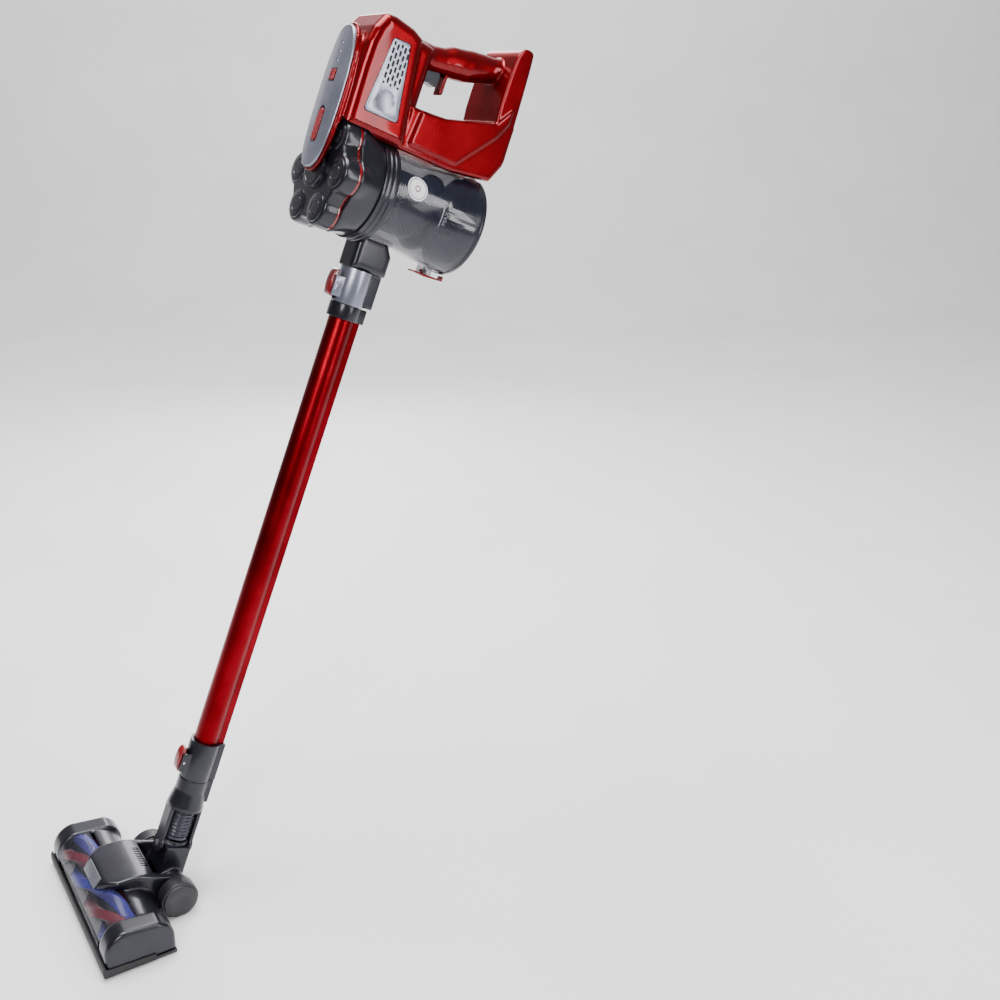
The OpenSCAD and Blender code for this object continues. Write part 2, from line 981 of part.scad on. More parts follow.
module head_shell()
    difference() {
        union() {
            // ends that close the brush chamber
            for (s = [-1, 1])
                translate([s * (hl - end_w / 2), 0, 0])
                along_x(end_w)
                    head_side();
            // back of the head between the ends
            intersection() {
                along_x(head_length - 2)
                    head_side();
                box([-hl, 1, 6], [hl, 60, 70]);
            }
            // raised middle with the lamp at its nose
            along_x(2 * cheek_out)
                polygon([[by - 13, 52], [by - 1, 66], [12, 66], [46, 59], [46, 30], [1, 30]]);
            for (s = [-1, 1])
                translate([s * (cheek_in + cheek_out) / 2, 0, 0])
                along_x(cheek_out - cheek_in)
                    cheek_side();
        }
        // brush chamber, open below
        rod_x(0, by, bz, chamber_r, 2 * (hl - 8));
        box([-hl + 14, by - 22, 0], [hl - 14, by + 20, 20]);
        // room for the window
        rod_x(0, by, bz, window_r, 2 * (hl - end_w));
        // hollow back, open towards the sole
        along_x(2 * (hl - 8))
            head_hollow_side();
        // belt room between the two hollows
        box([-hl + 8, 0, 12], [-hl + 19, 30, 40]);
        // duct through the raised middle
        box([-16, 0, 16], [16, 50, 44]);
        rod_x(0, pitch_y, pitch_z, drum_radius + 1.6, 2 * cheek_in);
        box([-cheek_in, 46.5, 0], [cheek_in, pitch_y + 40, 70]);
        rod_x(0, pitch_y, pitch_z, 5, 200);
        along_x(46.4)
            polygon([[by - 14, 54.2], [by - 3, 67.0], [by - 1.4, 65.6], [by - 12.5, 52.6]]);
    }

// wall between the brush chamber and the belt room
module belt_wall()
    difference() {
        rod_x(-(hl - 20), by, bz, chamber_r, 2);
        rod_x(-(hl - 20), by, bz, 7, 4);
        box([-hl, by - 40, -10], [hl, by + 40, 6]);
    }

module head_housing()
    color("dimgray") {
        head_shell();
        belt_wall();
    }

module head_window()
    color("lightgray", 0.4)
    difference() {
        rod_x(0, by, bz, window_r, 2 * (hl - end_w));
        rod_x(0, by, bz, chamber_r, 2 * hl);
        box([-hl, by - 40, -10], [hl, by + 40, 10]);
        box([-hl, 1, 0], [hl, 60, 60]);
    }

module bumper()
    color("black")
    difference() {
        box([-hl - 2, by - window_r - 2.5, 3], [hl + 2, 18, 14]);
        box([-hl, by - window_r, 0], [hl, 30, 20]);
    }

module sole_plate()
    color("black")
    difference() {
        union() {
            box([-hl, by - window_r, 2], [hl, 44.5, 6]);
            box([-hl + 2, by - window_r + 0.5, 0], [hl - 2, by - window_r + 4, 2]);
            for (s = [-1, 1])
                box([s > 0 ? hl - 34 : -hl + 10, 30, 0], [s > 0 ? hl - 10 : -hl + 34, 40, 2]);
        }
        box([-hl + 14, by - 22, -5], [hl - 14, by + 20, 20]);
        rod_x(0, by, bz, chamber_r, 2 * (hl - 8));
    }

module lamp_lens()
    color("whitesmoke")
    difference() {
        along_x(46)
            polygon([[by - 13.8, 54.0], [by - 3.1, 66.6], [by - 1.6, 65.4], [by - 12.3, 52.9]]);
        rod_x(0, by, bz, window_r, 60);
    }

module axles()
    color("lightgray")
    for (s = [-1, 1])
        rod_x(s * (31 + (cheek_out + wheel_width - 4 - 31) / 2), pitch_y, pitch_z, 5,
              cheek_out + wheel_width - 4 - 31);

module head_motor()
    color("gray")
    difference() {
        rod_x(-(hl - 45), motor_y, motor_z, 10.4, 46);
        rod_x(-(hl - 45), motor_y, motor_z, 1.55, 60);
    }

module motor_pulley()
    color("lightgray")
    union() {
        rod_x(-(hl - 30), motor_y, motor_z, 1.5, 40);
        rod_x(pulley_x, motor_y, motor_z, 5, 6);
    }

module brush_bearings()
    color("lightgray") {
        difference() {
            rod_x(hl - 9.8, by, bz, 7, 3.6);
            rod_x(hl - 9.8, by, bz, 3.05, 10);
        }
        difference() {
            rod_x(-(hl - 20), by, bz, 7, 3);
            rod_x(-(hl - 20), by, bz, 3.05, 10);
        }
    }

module brush_core()
    color("slategray")
    union() {
        rod_x(5, by, bz, 13, head_length - 34);
        rod_x(0.6, by, bz, 3, head_length - 18.4);
        rod_x(pulley_x, by, bz, 11, 6);
    }

// one spiral tuft row starting at angle a
module tuft(a)
    translate([5 - (head_length - 36) / 2, by, bz])
    rotate([0, 90, 0])
    rotate([0, 0, a])
    linear_extrude(head_length - 36, twist = 300, slices = 40, $fn = 8)
    translate([12.6, -2])
    square([brush_radius - 12.6, 4]);

module red_bristles()
    color("firebrick")
    for (a = [0, 180])
        tuft(a);

module blue_bristles()
    color("slateblue")
    for (a = [90, 270])
        tuft(a);

module drive_belt()
    color("black")
    translate([pulley_x, 0, 0])
    along_x(5)
    difference() {
        hull() {
            translate([by, bz])
            circle(12.6);
            translate([motor_y, motor_z])
            circle(6.6);
        }
        hull() {
            translate([by, bz])
            circle(11.2);
            translate([motor_y, motor_z])
            circle(5.2);
        }
    }

module wheel(s)
    color("black")
    difference() {
        union() {
            rod_x(s * (cheek_out + 1 + wheel_width / 2), pitch_y, pitch_z, wheel_radius, wheel_width - 4);
            rod_x(s * (cheek_out + 1 + wheel_width / 2), pitch_y, pitch_z, wheel_radius - 3, wheel_width);
        }
        rod_x(s * (cheek_out + wheel_width / 2 - 2), pitch_y, pitch_z, 5.05, wheel_width);
        translate([s * (cheek_out + 1 + wheel_width + 60 - 1.5), pitch_y, pitch_z])
        sphere(60);
    }

module left_wheel() wheel(1);

module right_wheel() wheel(-1);

left_shell();
right_shell();
top_panel();
left_vent();
right_vent();
motor_housing();
motor_can();
battery_cells();
battery_board();
control_board();
status_lights();
trigger_switch();
body_pins();
charge_jack();
body_screws();
inlet_seal();
impeller();
trigger();
mode_button();
cup_release();
cup_wall();
cup_ring();
nozzle();
nozzle_sleeve();
cyclone_screen();
cyclone_skirt();
centre_tube();
cup_pins();
cap();
cap_ring();
filter();
cup_lid();
lid_seal();
cup_latch();
nozzle_latch();
wand_tube();
upper_collar();
lower_collar();
wand_wires();
wand_pin();
wand_latch();
neck_tube();
bellows();
steer_pins();
yoke();
head_housing();
head_window();
bumper();
sole_plate();
lamp_lens();
axles();
head_motor();
brush_bearings();
brush_core();
red_bristles();
blue_bristles();
motor_pulley();
drive_belt();
left_wheel();
right_wheel();
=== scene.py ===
# Cordless upright stick vacuum cleaner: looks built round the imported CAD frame.
import json
import math

import bmesh
import bpy
from mathutils import Matrix, Vector


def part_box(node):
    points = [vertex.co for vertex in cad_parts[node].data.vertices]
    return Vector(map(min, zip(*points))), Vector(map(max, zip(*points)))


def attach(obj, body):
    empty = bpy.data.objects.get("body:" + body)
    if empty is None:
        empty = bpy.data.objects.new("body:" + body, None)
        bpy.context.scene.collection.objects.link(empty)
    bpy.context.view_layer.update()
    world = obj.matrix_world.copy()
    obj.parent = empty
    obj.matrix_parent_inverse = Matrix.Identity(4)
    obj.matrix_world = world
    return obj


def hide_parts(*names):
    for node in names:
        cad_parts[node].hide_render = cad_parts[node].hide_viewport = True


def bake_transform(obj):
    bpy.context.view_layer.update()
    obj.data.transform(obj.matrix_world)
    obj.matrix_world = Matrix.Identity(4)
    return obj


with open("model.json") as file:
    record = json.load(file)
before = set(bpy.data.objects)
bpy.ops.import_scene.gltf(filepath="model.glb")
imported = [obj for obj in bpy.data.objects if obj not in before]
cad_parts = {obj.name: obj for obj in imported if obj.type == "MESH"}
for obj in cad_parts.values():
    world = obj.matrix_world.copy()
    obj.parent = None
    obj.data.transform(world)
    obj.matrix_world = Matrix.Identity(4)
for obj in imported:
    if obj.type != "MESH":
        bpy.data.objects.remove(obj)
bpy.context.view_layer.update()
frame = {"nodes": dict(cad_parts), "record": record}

MM = 0.001

# ---------------------------------------------------------------- frames from the record

joints = {j["name"]: j for j in frame["record"]["behaviour"]["joints"]}
CAP_PIVOT_MM = -60.0        # the cap's pivot sits this far along the cup axis

cup_axis = Vector(joints["cap_twist"]["axis"])          # from the cap towards the lid
wand_axis = -Vector(joints["dust_cup_slide"]["axis"])   # from the floor head to the hand
hand_origin = Vector(joints["cap_twist"]["pos_m"]) - cup_axis * CAP_PIVOT_MM * MM


def frame_matrix(origin):
    """Millimetres along X, the cup axis and the wand axis, turned into the row frame."""
    turn = Matrix((Vector((1, 0, 0)), cup_axis, wand_axis)).transposed().to_4x4()
    return Matrix.Translation(origin) @ turn @ Matrix.Scale(MM, 4)


HAND = frame_matrix(hand_origin)
NECK = frame_matrix(Vector(joints["neck_steer"]["pos_m"]))
ROW = Matrix.Scale(MM, 4)
AROUND_CUP = Matrix.Rotation(math.radians(-90), 4, "X")     # turns +Z into the cup axis


# ---------------------------------------------------------------- camera, light, floor

def place_camera():
    """A viewpoint a little above the middle of the wand, in front and to the right."""
    data = bpy.data.cameras.new("view")
    data.lens = 39.8
    data.sensor_width = 36.0
    data.shift_x = 0.1
    camera = bpy.data.objects.new("view", data)
    bpy.context.scene.collection.objects.link(camera)
    where = Vector((1.2016, -0.2656, 1.0208))
    aim = Vector((0.109, 0.375, 0.5357))
    camera.location = where
    camera.rotation_euler = (aim - where).to_track_quat("-Z", "Y").to_euler()
    bpy.context.scene.camera = camera


def soft_box(name, where, aim, size, power):
    """A rectangular studio light, its size in metres and its power in watts."""
    data = bpy.data.lights.new(name, "AREA")
    data.shape = "RECTANGLE"
    data.size = size[0]
    data.size_y = size[1]
    data.energy = power
    light = bpy.data.objects.new(name, data)
    light.location = where
    light.rotation_euler = (Vector(aim) - Vector(where)).to_track_quat("-Z", "Y").to_euler()
    bpy.context.scene.collection.objects.link(light)


# ---------------------------------------------------------------- materials

def linear(hex_colour):
    """sRGB hex to a linear colour with alpha 1."""
    parts = [int(hex_colour[i:i + 2], 16) / 255 for i in (1, 3, 5)]
    return tuple(c / 12.92 if c <= 0.04045 else ((c + 0.055) / 1.055) ** 2.4 for c in parts) + (1,)


def add(tree, kind, inputs=None, **settings):
    """A node with its settings and links; an input is a value or another node's output."""
    made = tree.nodes.new(kind)
    for key, value in settings.items():
        setattr(made, key, value)
    for key, value in (inputs or {}).items():
        if isinstance(value, bpy.types.NodeSocket):
            tree.links.new(value, made.inputs[key])
        else:
            made.inputs[key].default_value = value
    return made


def finish_material(name, shader_inputs, build=None):
    """A Principled material; build(tree, position) returns the linked inputs."""
    material = bpy.data.materials.new(name)
    material.use_nodes = True
    tree = material.node_tree
    tree.nodes.clear()
    position = add(tree, "ShaderNodeTexCoord").outputs["Object"]
    inputs = dict(shader_inputs)
    if build:
        inputs.update(build(tree, position))
    shader = add(tree, "ShaderNodeBsdfPrincipled", inputs)
    add(tree, "ShaderNodeOutputMaterial", {"Surface": shader.outputs[0]})
    return material


def tinted(tree, position, dark, light, size_mm, detail=3.0, low=0.35, high=0.65):
    """Colour that drifts between two tones over patches of a real size."""
    patches = add(tree, "ShaderNodeTexNoise",
                  {"Vector": position, "Scale": 1000 / size_mm, "Detail": detail})
    ramp = add(tree, "ShaderNodeValToRGB", {"Fac": patches.outputs["Fac"]})
    ramp.color_ramp.elements[0].position = low
    ramp.color_ramp.elements[0].color = linear(dark)
    ramp.color_ramp.elements[1].position = high
    ramp.color_ramp.elements[1].color = linear(light)
    return ramp.outputs["Color"]


def wiped(tree, position, low, high, size_mm):
    """Roughness that drifts where hands and cloths have passed."""
    smears = add(tree, "ShaderNodeTexNoise",
                 {"Vector": position, "Scale": 1000 / size_mm, "Detail": 4.0, "Roughness": 0.6})
    spread = add(tree, "ShaderNodeMapRange",
                 {"Value": smears.outputs["Fac"], "From Min": 0.3, "From Max": 0.7,
                  "To Min": low, "To Max": high})
    return spread.outputs["Result"]


def grained(tree, position, size_mm, depth_mm, strength=1.0):
    """Bump from the grain of a mould or a film of paint."""
    grain = add(tree, "ShaderNodeTexNoise",
                {"Vector": position, "Scale": 1000 / size_mm, "Detail": 2.0})
    bump = add(tree, "ShaderNodeBump",
               {"Height": grain.outputs["Fac"], "Distance": depth_mm * MM, "Strength": strength})
    return bump.outputs["Normal"]


def candy_lacquer():
    """Candy red lacquer over ABS: a deep metallic red under a thick gloss coat."""
    def build(tree, position):
        # metal flake is about 0.05 mm; drawn at 0.6 mm so that it shows
        flakes = add(tree, "ShaderNodeTexVoronoi", {"Vector": position, "Scale": 1000 / 0.6})
        bump = add(tree, "ShaderNodeBump",
                   {"Height": flakes.outputs["Distance"], "Distance": 0.02 * MM, "Strength": 0.35})
        return {"Base Color": tinted(tree, position, "#66000A", "#78040F", 45),
                "Roughness": wiped(tree, position, 0.26, 0.34, 30),
                "Normal": bump.outputs["Normal"]}
    return finish_material("candy_lacquered_abs", {
        "Metallic": 0.75, "Specular IOR Level": 0.2, "Specular Tint": (0.75, 0.12, 0.1, 1),
        "Coat Weight": 0.7, "Coat Roughness": 0.04, "Coat IOR": 1.36}, build)


def anodised_tube():
    """Drawn aluminium, brushed and anodised red: satin metal with faint lines along the tube."""
    def build(tree, position):
        # drawing lines are 0.2 mm apart, drawn at 0.7 mm, and run up the leaning wand
        turned = add(tree, "ShaderNodeMapping", {
            "Vector": position,
            "Rotation": (math.atan2(wand_axis.y, wand_axis.z), 0, 0),
            "Scale": (1, 1, 0.01)})
        lines = add(tree, "ShaderNodeTexNoise",
                    {"Vector": turned.outputs["Vector"], "Scale": 1000 / 0.7, "Detail": 3.0})
        pores = add(tree, "ShaderNodeTexNoise",
                    {"Vector": position, "Scale": 1000 / 0.5, "Detail": 2.0})
        both = add(tree, "ShaderNodeMath", {0: lines.outputs["Fac"], 1: pores.outputs["Fac"]})
        bump = add(tree, "ShaderNodeBump",
                   {"Height": both.outputs[0], "Distance": 0.03 * MM, "Strength": 0.5})
        return {"Base Color": tinted(tree, position, "#6A0611", "#7F0A18", 60),
                "Roughness": wiped(tree, position, 0.30, 0.40, 40),
                "Normal": bump.outputs["Normal"]}
    return finish_material("anodised_drawn_aluminium", {"Metallic": 1.0}, build)


def silver_lacquer():
    """Silver metallic lacquer over ABS: satin, with a cool grey cast."""
    def build(tree, position):
        return {"Base Color": tinted(tree, position, "#7E8190", "#9193A2", 35),
                "Roughness": wiped(tree, position, 0.27, 0.36, 25),
                "Normal": grained(tree, position, 0.5, 0.02, 0.5)}
    return finish_material("silver_lacquered_abs",
                           {"Metallic": 0.75, "Coat Weight": 0.4, "Coat Roughness": 0.15}, build)


def gunmetal_lacquer():
    """Dark grey metallic ABS: deep tone with a soft metallic lift where light grazes it."""
    def build(tree, position):
        return {"Base Color": tinted(tree, position, "#18181F", "#20202A", 40),
                "Roughness": wiped(tree, position, 0.28, 0.36, 22),
                "Normal": grained(tree, position, 0.4, 0.015)}
    return finish_material("gunmetal_lacquered_abs", {
        "Metallic": 0.5, "Specular IOR Level": 0.5, "Coat Weight": 0.35,
        "Coat Roughness": 0.12}, build)


def moulded_abs(name, dark, light, low, high, grain_mm=0.35, depth_mm=0.02):
    """Injection-moulded ABS: even colour, a fine spark-eroded grain and wiped sheen."""
    def build(tree, position):
        return {"Base Color": tinted(tree, position, dark, light, 50),
                "Roughness": wiped(tree, position, low, high, 22),
                "Normal": grained(tree, position, grain_mm, depth_mm)}
    return finish_material(name, {"IOR": 1.53}, build)


def smoked_polycarbonate():
    """Clear smoke-tinted polycarbonate: thin tinted wall, broad gloss, faint scuffs."""
    def build(tree, position):
        return {"Roughness": wiped(tree, position, 0.14, 0.2, 18),
                "Base Color": tinted(tree, position, "#171A2A", "#202436", 40)}
    return finish_material("smoked_polycarbonate", {
        "IOR": 1.58, "Alpha": 0.44, "Coat Weight": 0.8, "Coat Roughness": 0.12}, build)


def clear_window():
    """Clear moulded window over the brush: almost invisible except where it shines."""
    def build(tree, position):
        return {"Roughness": wiped(tree, position, 0.14, 0.2, 25),
                "Base Color": tinted(tree, position, "#22232C", "#2C2D38", 40)}
    return finish_material("clear_moulded_window", {
        "IOR": 1.49, "Alpha": 0.22, "Coat Weight": 0.6, "Coat Roughness": 0.12}, build)


def ruby_polycarbonate():
    """Translucent red polycarbonate buttons: bright ruby, glossy, lit from within."""
    def build(tree, position):
        return {"Base Color": tinted(tree, position, "#6A020B", "#7E0511", 12),
                "Roughness": wiped(tree, position, 0.12, 0.2, 10)}
    return finish_material("ruby_polycarbonate", {
        "IOR": 1.58, "Subsurface Weight": 0.04, "Subsurface Radius": (0.004, 0.0006, 0.0006),
        "Subsurface Scale": 1.0, "Coat Weight": 0.3, "Coat Roughness": 0.08}, build)


def turned_steel():
    """Turned and plated steel: bright, with fine tool marks."""
    def build(tree, position):
        return {"Base Color": tinted(tree, position, "#9FA0A5", "#B9BABF", 8),
                "Roughness": wiped(tree, position, 0.25, 0.38, 6),
                "Normal": grained(tree, position, 0.3, 0.01)}
    return finish_material("turned_steel", {"Metallic": 1.0}, build)


def nylon_bristle(name, dark, light):
    """Extruded nylon bristle, bunched in tufts: soft sheen, tone varies from tuft to tuft."""
    def build(tree, position):
        return {"Base Color": tinted(tree, position, dark, light, 5, low=0.3, high=0.7),
                "Roughness": wiped(tree, position, 0.45, 0.65, 4),
                "Normal": grained(tree, position, 0.6, 0.15)}
    return finish_material(name, {"Sheen Weight": 0.4, "Sheen Roughness": 0.4}, build)


def pleated_felt():
    """Pressed filter felt: matt off-white fibres."""
    def build(tree, position):
        return {"Base Color": tinted(tree, position, "#D9D7CF", "#EDECE6", 3),
                "Normal": grained(tree, position, 0.4, 0.1)}
    return finish_material("pressed_filter_felt", {"Roughness": 0.95, "Sheen Weight": 0.3}, build)


def painted_floor():
    """Pale matt studio floor with the faintest mottling."""
    def build(tree, position):
        return {"Base Color": tinted(tree, position, "#EDEDEF", "#F2F2F4", 400)}
    return finish_material("matt_floor_paint", {"Roughness": 0.6}, build)


FINISH = {
    "red_gloss": candy_lacquer(),
    "red_tube": anodised_tube(),
    "silver": silver_lacquer(),
    "grey": gunmetal_lacquer(),
    "black": moulded_abs("moulded_black_abs", "#131316", "#19191D", 0.38, 0.5),
    "clear": smoked_polycarbonate(),
    "red_clear": ruby_polycarbonate(),
    "rubber": moulded_abs("moulded_soft_rubber", "#0E0E10", "#161618", 0.55, 0.7, 0.5, 0.04),
    "steel": turned_steel(),
    "cell": moulded_abs("shrink_wrapped_cell", "#1E4C7A", "#235789", 0.3, 0.4),
    "board": moulded_abs("solder_masked_board", "#0F4A24", "#15592D", 0.35, 0.5),
    "light": moulded_abs("frosted_light_guide", "#D4DAE4", "#E6EBF2", 0.3, 0.45),
    "filter": pleated_felt(),
    "red_tuft": nylon_bristle("red_nylon_bristle", "#5C0A20", "#84122C"),
    "blue_tuft": nylon_bristle("blue_nylon_bristle", "#2C2C96", "#4A48BC"),
    "screen": moulded_abs("moulded_blue_grey_abs", "#14161F", "#1A1D28", 0.30, 0.42),
    "window": clear_window(),
    "sleeve": moulded_abs("moulded_flexible_sleeve", "#30303A", "#3A3A46", 0.16, 0.26),
    "lens": moulded_abs("ribbed_lamp_lens", "#54565D", "#64666E", 0.25, 0.4),
    "print": moulded_abs("white_pad_print", "#C9C9CE", "#D8D8DC", 0.5, 0.6),
    "badge": moulded_abs("pale_disc_label", "#DADADF", "#E8E8EC", 0.35, 0.45),
}

SLOT_OF = {s["node"]: s["material_slot"] for s in frame["record"]["subparts"]}


# ---------------------------------------------------------------- making pieces

def as_object(name, mesh_maker, place=None):
    """An object whose mesh is already in its place in the row frame."""
    bm = mesh_maker if isinstance(mesh_maker, bmesh.types.BMesh) else mesh_maker()
    if place is not None:
        bmesh.ops.transform(bm, matrix=place, verts=bm.verts)
    mesh = bpy.data.meshes.new(name)
    bm.to_mesh(mesh)
    bm.free()
    made = bpy.data.objects.new(name, mesh)
    bpy.context.scene.collection.objects.link(made)
    return made


def apply_modifiers(made):
    """Bakes an object's modifiers into its mesh."""
    graph = bpy.context.evaluated_depsgraph_get()
    mesh = bpy.data.meshes.new_from_object(made.evaluated_get(graph))
    made.modifiers.clear()
    made.data = mesh


def cut(made, cutter):
    """Cuts a helper shape out of a piece, and throws the helper away."""
    boolean = made.modifiers.new("cut", "BOOLEAN")
    boolean.operation = "DIFFERENCE"
    boolean.solver = "MANIFOLD"
    boolean.object = cutter
    apply_modifiers(made)
    bpy.data.objects.remove(cutter)


def smooth(made, angle=32):
    """Smooth shading, with edges kept sharp above an angle in degrees."""
    made.data.shade_smooth()
    made.data.set_sharp_from_angle(angle=math.radians(angle))


def dress(made, body, slot, *nodes, finish=None, angle=32):
    """Gives a piece the finish of its slot or the finish named, smooth shading and its body, and
    hides the CAD nodes it stands for.
    """
    made.data.materials.clear()
    made.data.materials.append(FINISH[finish or slot])
    smooth(made, angle)
    if body:
        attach(made, body)
    if nodes:
        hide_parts(*nodes)
    return made


def body_of_node(node):
    """The body that a CAD node moves with."""
    for body, members in frame["record"]["behaviour"]["bodies"].items():
        if node in members:
            return body
    return None


def eased_copy(node, edge_mm, finish=None):
    """The CAD solid again, with merged faces, eased edges and smooth rounds."""
    bm = bmesh.new()
    bm.from_mesh(frame["nodes"][node].data)
    bmesh.ops.remove_doubles(bm, verts=bm.verts, dist=0.00002)
    bmesh.ops.dissolve_limit(bm, angle_limit=math.radians(0.4), verts=bm.verts, edges=bm.edges)
    made = as_object(node + "_eased", bm)
    bevel = made.modifiers.new("ease", "BEVEL")
    bevel.width = edge_mm * MM
    bevel.segments = 3
    bevel.limit_method = "ANGLE"
    bevel.angle_limit = math.radians(30)
    bevel.use_clamp_overlap = True
    bevel.miter_outer = "MITER_ARC"
    apply_modifiers(made)
    return dress(made, body_of_node(node), SLOT_OF[node], node, finish=finish)


def soft_copy(node, voxel_mm, rounds):
    """The CAD solid again with its edges flowing into each other, as a moulding's do."""
    bm = bmesh.new()
    bm.from_mesh(frame["nodes"][node].data)
    bmesh.ops.remove_doubles(bm, verts=bm.verts, dist=0.00002)
    made = fused(as_object(node + "_soft", bm), voxel_mm, rounds)
    return dress(made, body_of_node(node), SLOT_OF[node], node, angle=50)


def flowing(outline, rounds):
    """A closed outline with its corners cut again and again until it flows."""
    for _ in range(rounds):
        shorter = []
        for (a, b), (c, d) in zip(outline, outline[1:] + outline[:1]):
            shorter += [(0.75 * a + 0.25 * c, 0.75 * b + 0.25 * d),
                        (0.25 * a + 0.75 * c, 0.25 * b + 0.75 * d)]
        outline = shorter
    return outline


def prism(outline, half_width, ease, segments=6, centre=0.0):
    """A side outline of (y, z) points in mm, thickened along X, its rims eased."""
    bm = bmesh.new()
    verts = [bm.verts.new((centre - half_width, y, z)) for y, z in outline]
    face = bm.faces.new(verts)
    grown = bmesh.ops.extrude_face_region(bm, geom=[face])["geom"]
    moved = [g for g in grown if isinstance(g, bmesh.types.BMVert)]
    bmesh.ops.translate(bm, verts=moved, vec=(2 * half_width, 0, 0))
    bmesh.ops.recalc_face_normals(bm, faces=bm.faces)
    if ease:
        rims = [e for e in bm.edges if abs(e.verts[0].co.x - e.verts[1].co.x) < 1e-6]
        bmesh.ops.bevel(bm, geom=rims, offset=ease, segments=segments, profile=0.5,
                        affect="EDGES", material=-1, clamp_overlap=True)
    return bm


def plate(outline, y_low, thick, ease, segments=5):
    """A plan outline of (x, z) points in mm, thickened towards -Y, its outer rim eased."""
    bm = bmesh.new()
    verts = [bm.verts.new((x, y_low, z)) for x, z in outline]
    face = bm.faces.new(verts)
    grown = bmesh.ops.extrude_face_region(bm, geom=[face])["geom"]
    moved = [g for g in grown if isinstance(g, bmesh.types.BMVert)]
    bmesh.ops.translate(bm, verts=moved, vec=(0, -thick, 0))
    bmesh.ops.recalc_face_normals(bm, faces=bm.faces)
    if ease:
        top = y_low - thick
        rim = [e for e in bm.edges if all(abs(v.co.y - top) < 1e-6 for v in e.verts)]
        bmesh.ops.bevel(bm, geom=rim, offset=ease, segments=segments, profile=0.5,
                        affect="EDGES", material=-1, clamp_overlap=True)
    return bm


def turned(profile, steps=128):
    """A closed outline of (radius, height) points in mm, spun about +Z."""
    bm = bmesh.new()
    verts = [bm.verts.new((r, 0, z)) for r, z in profile]
    edges = [bm.edges.new((verts[i], verts[(i + 1) % len(verts)])) for i in range(len(verts))]
    bmesh.ops.spin(bm, geom=verts + edges, cent=(0, 0, 0), axis=(0, 0, 1),
                   angle=math.tau, steps=steps, use_merge=True)
    bmesh.ops.remove_doubles(bm, verts=bm.verts, dist=1e-4)
    bare = [e for e in bm.edges if not e.link_faces]
    bmesh.ops.delete(bm, geom=bare, context="EDGES")
    bmesh.ops.recalc_face_normals(bm, faces=bm.faces)
    return bm


def sliced(bm, reach, step):
    """Cuts a form across X at even steps, so that it can be bent."""
    for x in range(-reach, reach + 1, step):
        bmesh.ops.bisect_plane(bm, geom=list(bm.verts) + list(bm.edges) + list(bm.faces),
                               dist=1e-5, plane_co=(x, 0, 0), plane_no=(1, 0, 0))
    return bm


def arc(cx, cy, radius, start, end, steps):
    """Points on an arc, angles in degrees, both ends included."""
    return [(cx + radius * math.cos(math.radians(start + (end - start) * i / steps)),
             cy + radius * math.sin(math.radians(start + (end - start) * i / steps)))
            for i in range(steps + 1)]


def joined(name, forms, place):
    """Several closed forms as one object, still overlapping."""
    whole = bmesh.new()
    for form in forms:
        scratch = bpy.data.meshes.new("scratch")
        form.to_mesh(scratch)
        form.free()
        whole.from_mesh(scratch)
        bpy.data.meshes.remove(scratch)
    return as_object(name, whole, place)


def fused(made, voxel_mm, rounds):
    """Fuses overlapping forms into one skin and lets their corners flow together."""
    remesh = made.modifiers.new("fuse", "REMESH")
    remesh.mode = "VOXEL"
    remesh.voxel_size = voxel_mm * MM
    apply_modifiers(made)
    bm = bmesh.new()
    bm.from_mesh(made.data)
    for _ in range(rounds):
        bmesh.ops.smooth_vert(bm, verts=bm.verts, factor=0.5,
                              use_axis_x=True, use_axis_y=True, use_axis_z=True)
    bm.to_mesh(made.data)
    bm.free()
    return made


# ---------------------------------------------------------------- red hand-unit body

BODY_HALF = 42.0


def swept_grip():
    """The hand grip: oval sections down a gently bowed line, fuller where the palm sits."""
    # y, z of the middle, half depth, half width
    stations = [(-20, 163, 20, 26), (-8, 166, 18, 20), (4, 168, 16, 17.5), (20, 171, 16.5, 17),
                (32, 175, 18.5, 17.5), (44, 177, 19, 18), (58, 180, 19.5, 18), (74, 184, 18, 17),
                (88, 187.5, 16, 17), (98, 190, 16, 19), (106, 192, 20, 26)]
    bm = bmesh.new()
    ring = bmesh.ops.create_circle(bm, cap_ends=True, segments=32, radius=1.0)["verts"]
    bmesh.ops.transform(bm, matrix=Matrix.Rotation(math.radians(-90), 4, "X"), verts=ring)
    unit = [v.co.copy() for v in ring]

    def lay(verts, station):
        y, z, depth, width = station
        for vert, at in zip(verts, unit):
            vert.co = Vector((at.x * width, y, z + at.z * depth))

    lay(ring, stations[0])
    edges = list(bm.edges)
    for station in stations[1:]:
        grown = bmesh.ops.extrude_edge_only(bm, edges=edges)["geom"]
        new = [g for g in grown if isinstance(g, bmesh.types.BMVert)]
        edges = [g for g in grown if isinstance(g, bmesh.types.BMEdge)
                 and all(v in new for v in g.verts)]
        centre = sum((v.co for v in new), Vector()) / len(new)
        new.sort(key=lambda v: math.atan2(v.co.z - centre.z, v.co.x - centre.x))
        order = sorted(range(32), key=lambda i: math.atan2(unit[i].z, unit[i].x))
        y, z, depth, width = station
        for vert, i in zip(new, order):
            vert.co = Vector((unit[i].x * width, y, z + unit[i].z * depth))
    bmesh.ops.contextual_create(bm, geom=edges)
    bmesh.ops.recalc_face_normals(bm, faces=bm.faces)
    return bm


def panel_outline(grow):
    """Boat-shaped plan of the top panel, full in the middle and round at both ends."""
    points = []
    for i in range(64):
        turn = math.tau * i / 64
        x = math.copysign(abs(math.cos(turn)) ** 0.8, math.cos(turn)) * (30 + grow)
        z = math.copysign(abs(math.sin(turn)) ** 0.8, math.sin(turn)) * (82 + grow)
        points.append((x, 81 + z))
    return points


def cradle_tool():
    """The space that the cup and the cap slide out of, as one turned cutter."""
    return turned([(0, -97.9), (71, -97.9), (71, -64), (63, -46), (63, 100), (66, 104),
                   (66, 160), (0, 160)], 160)


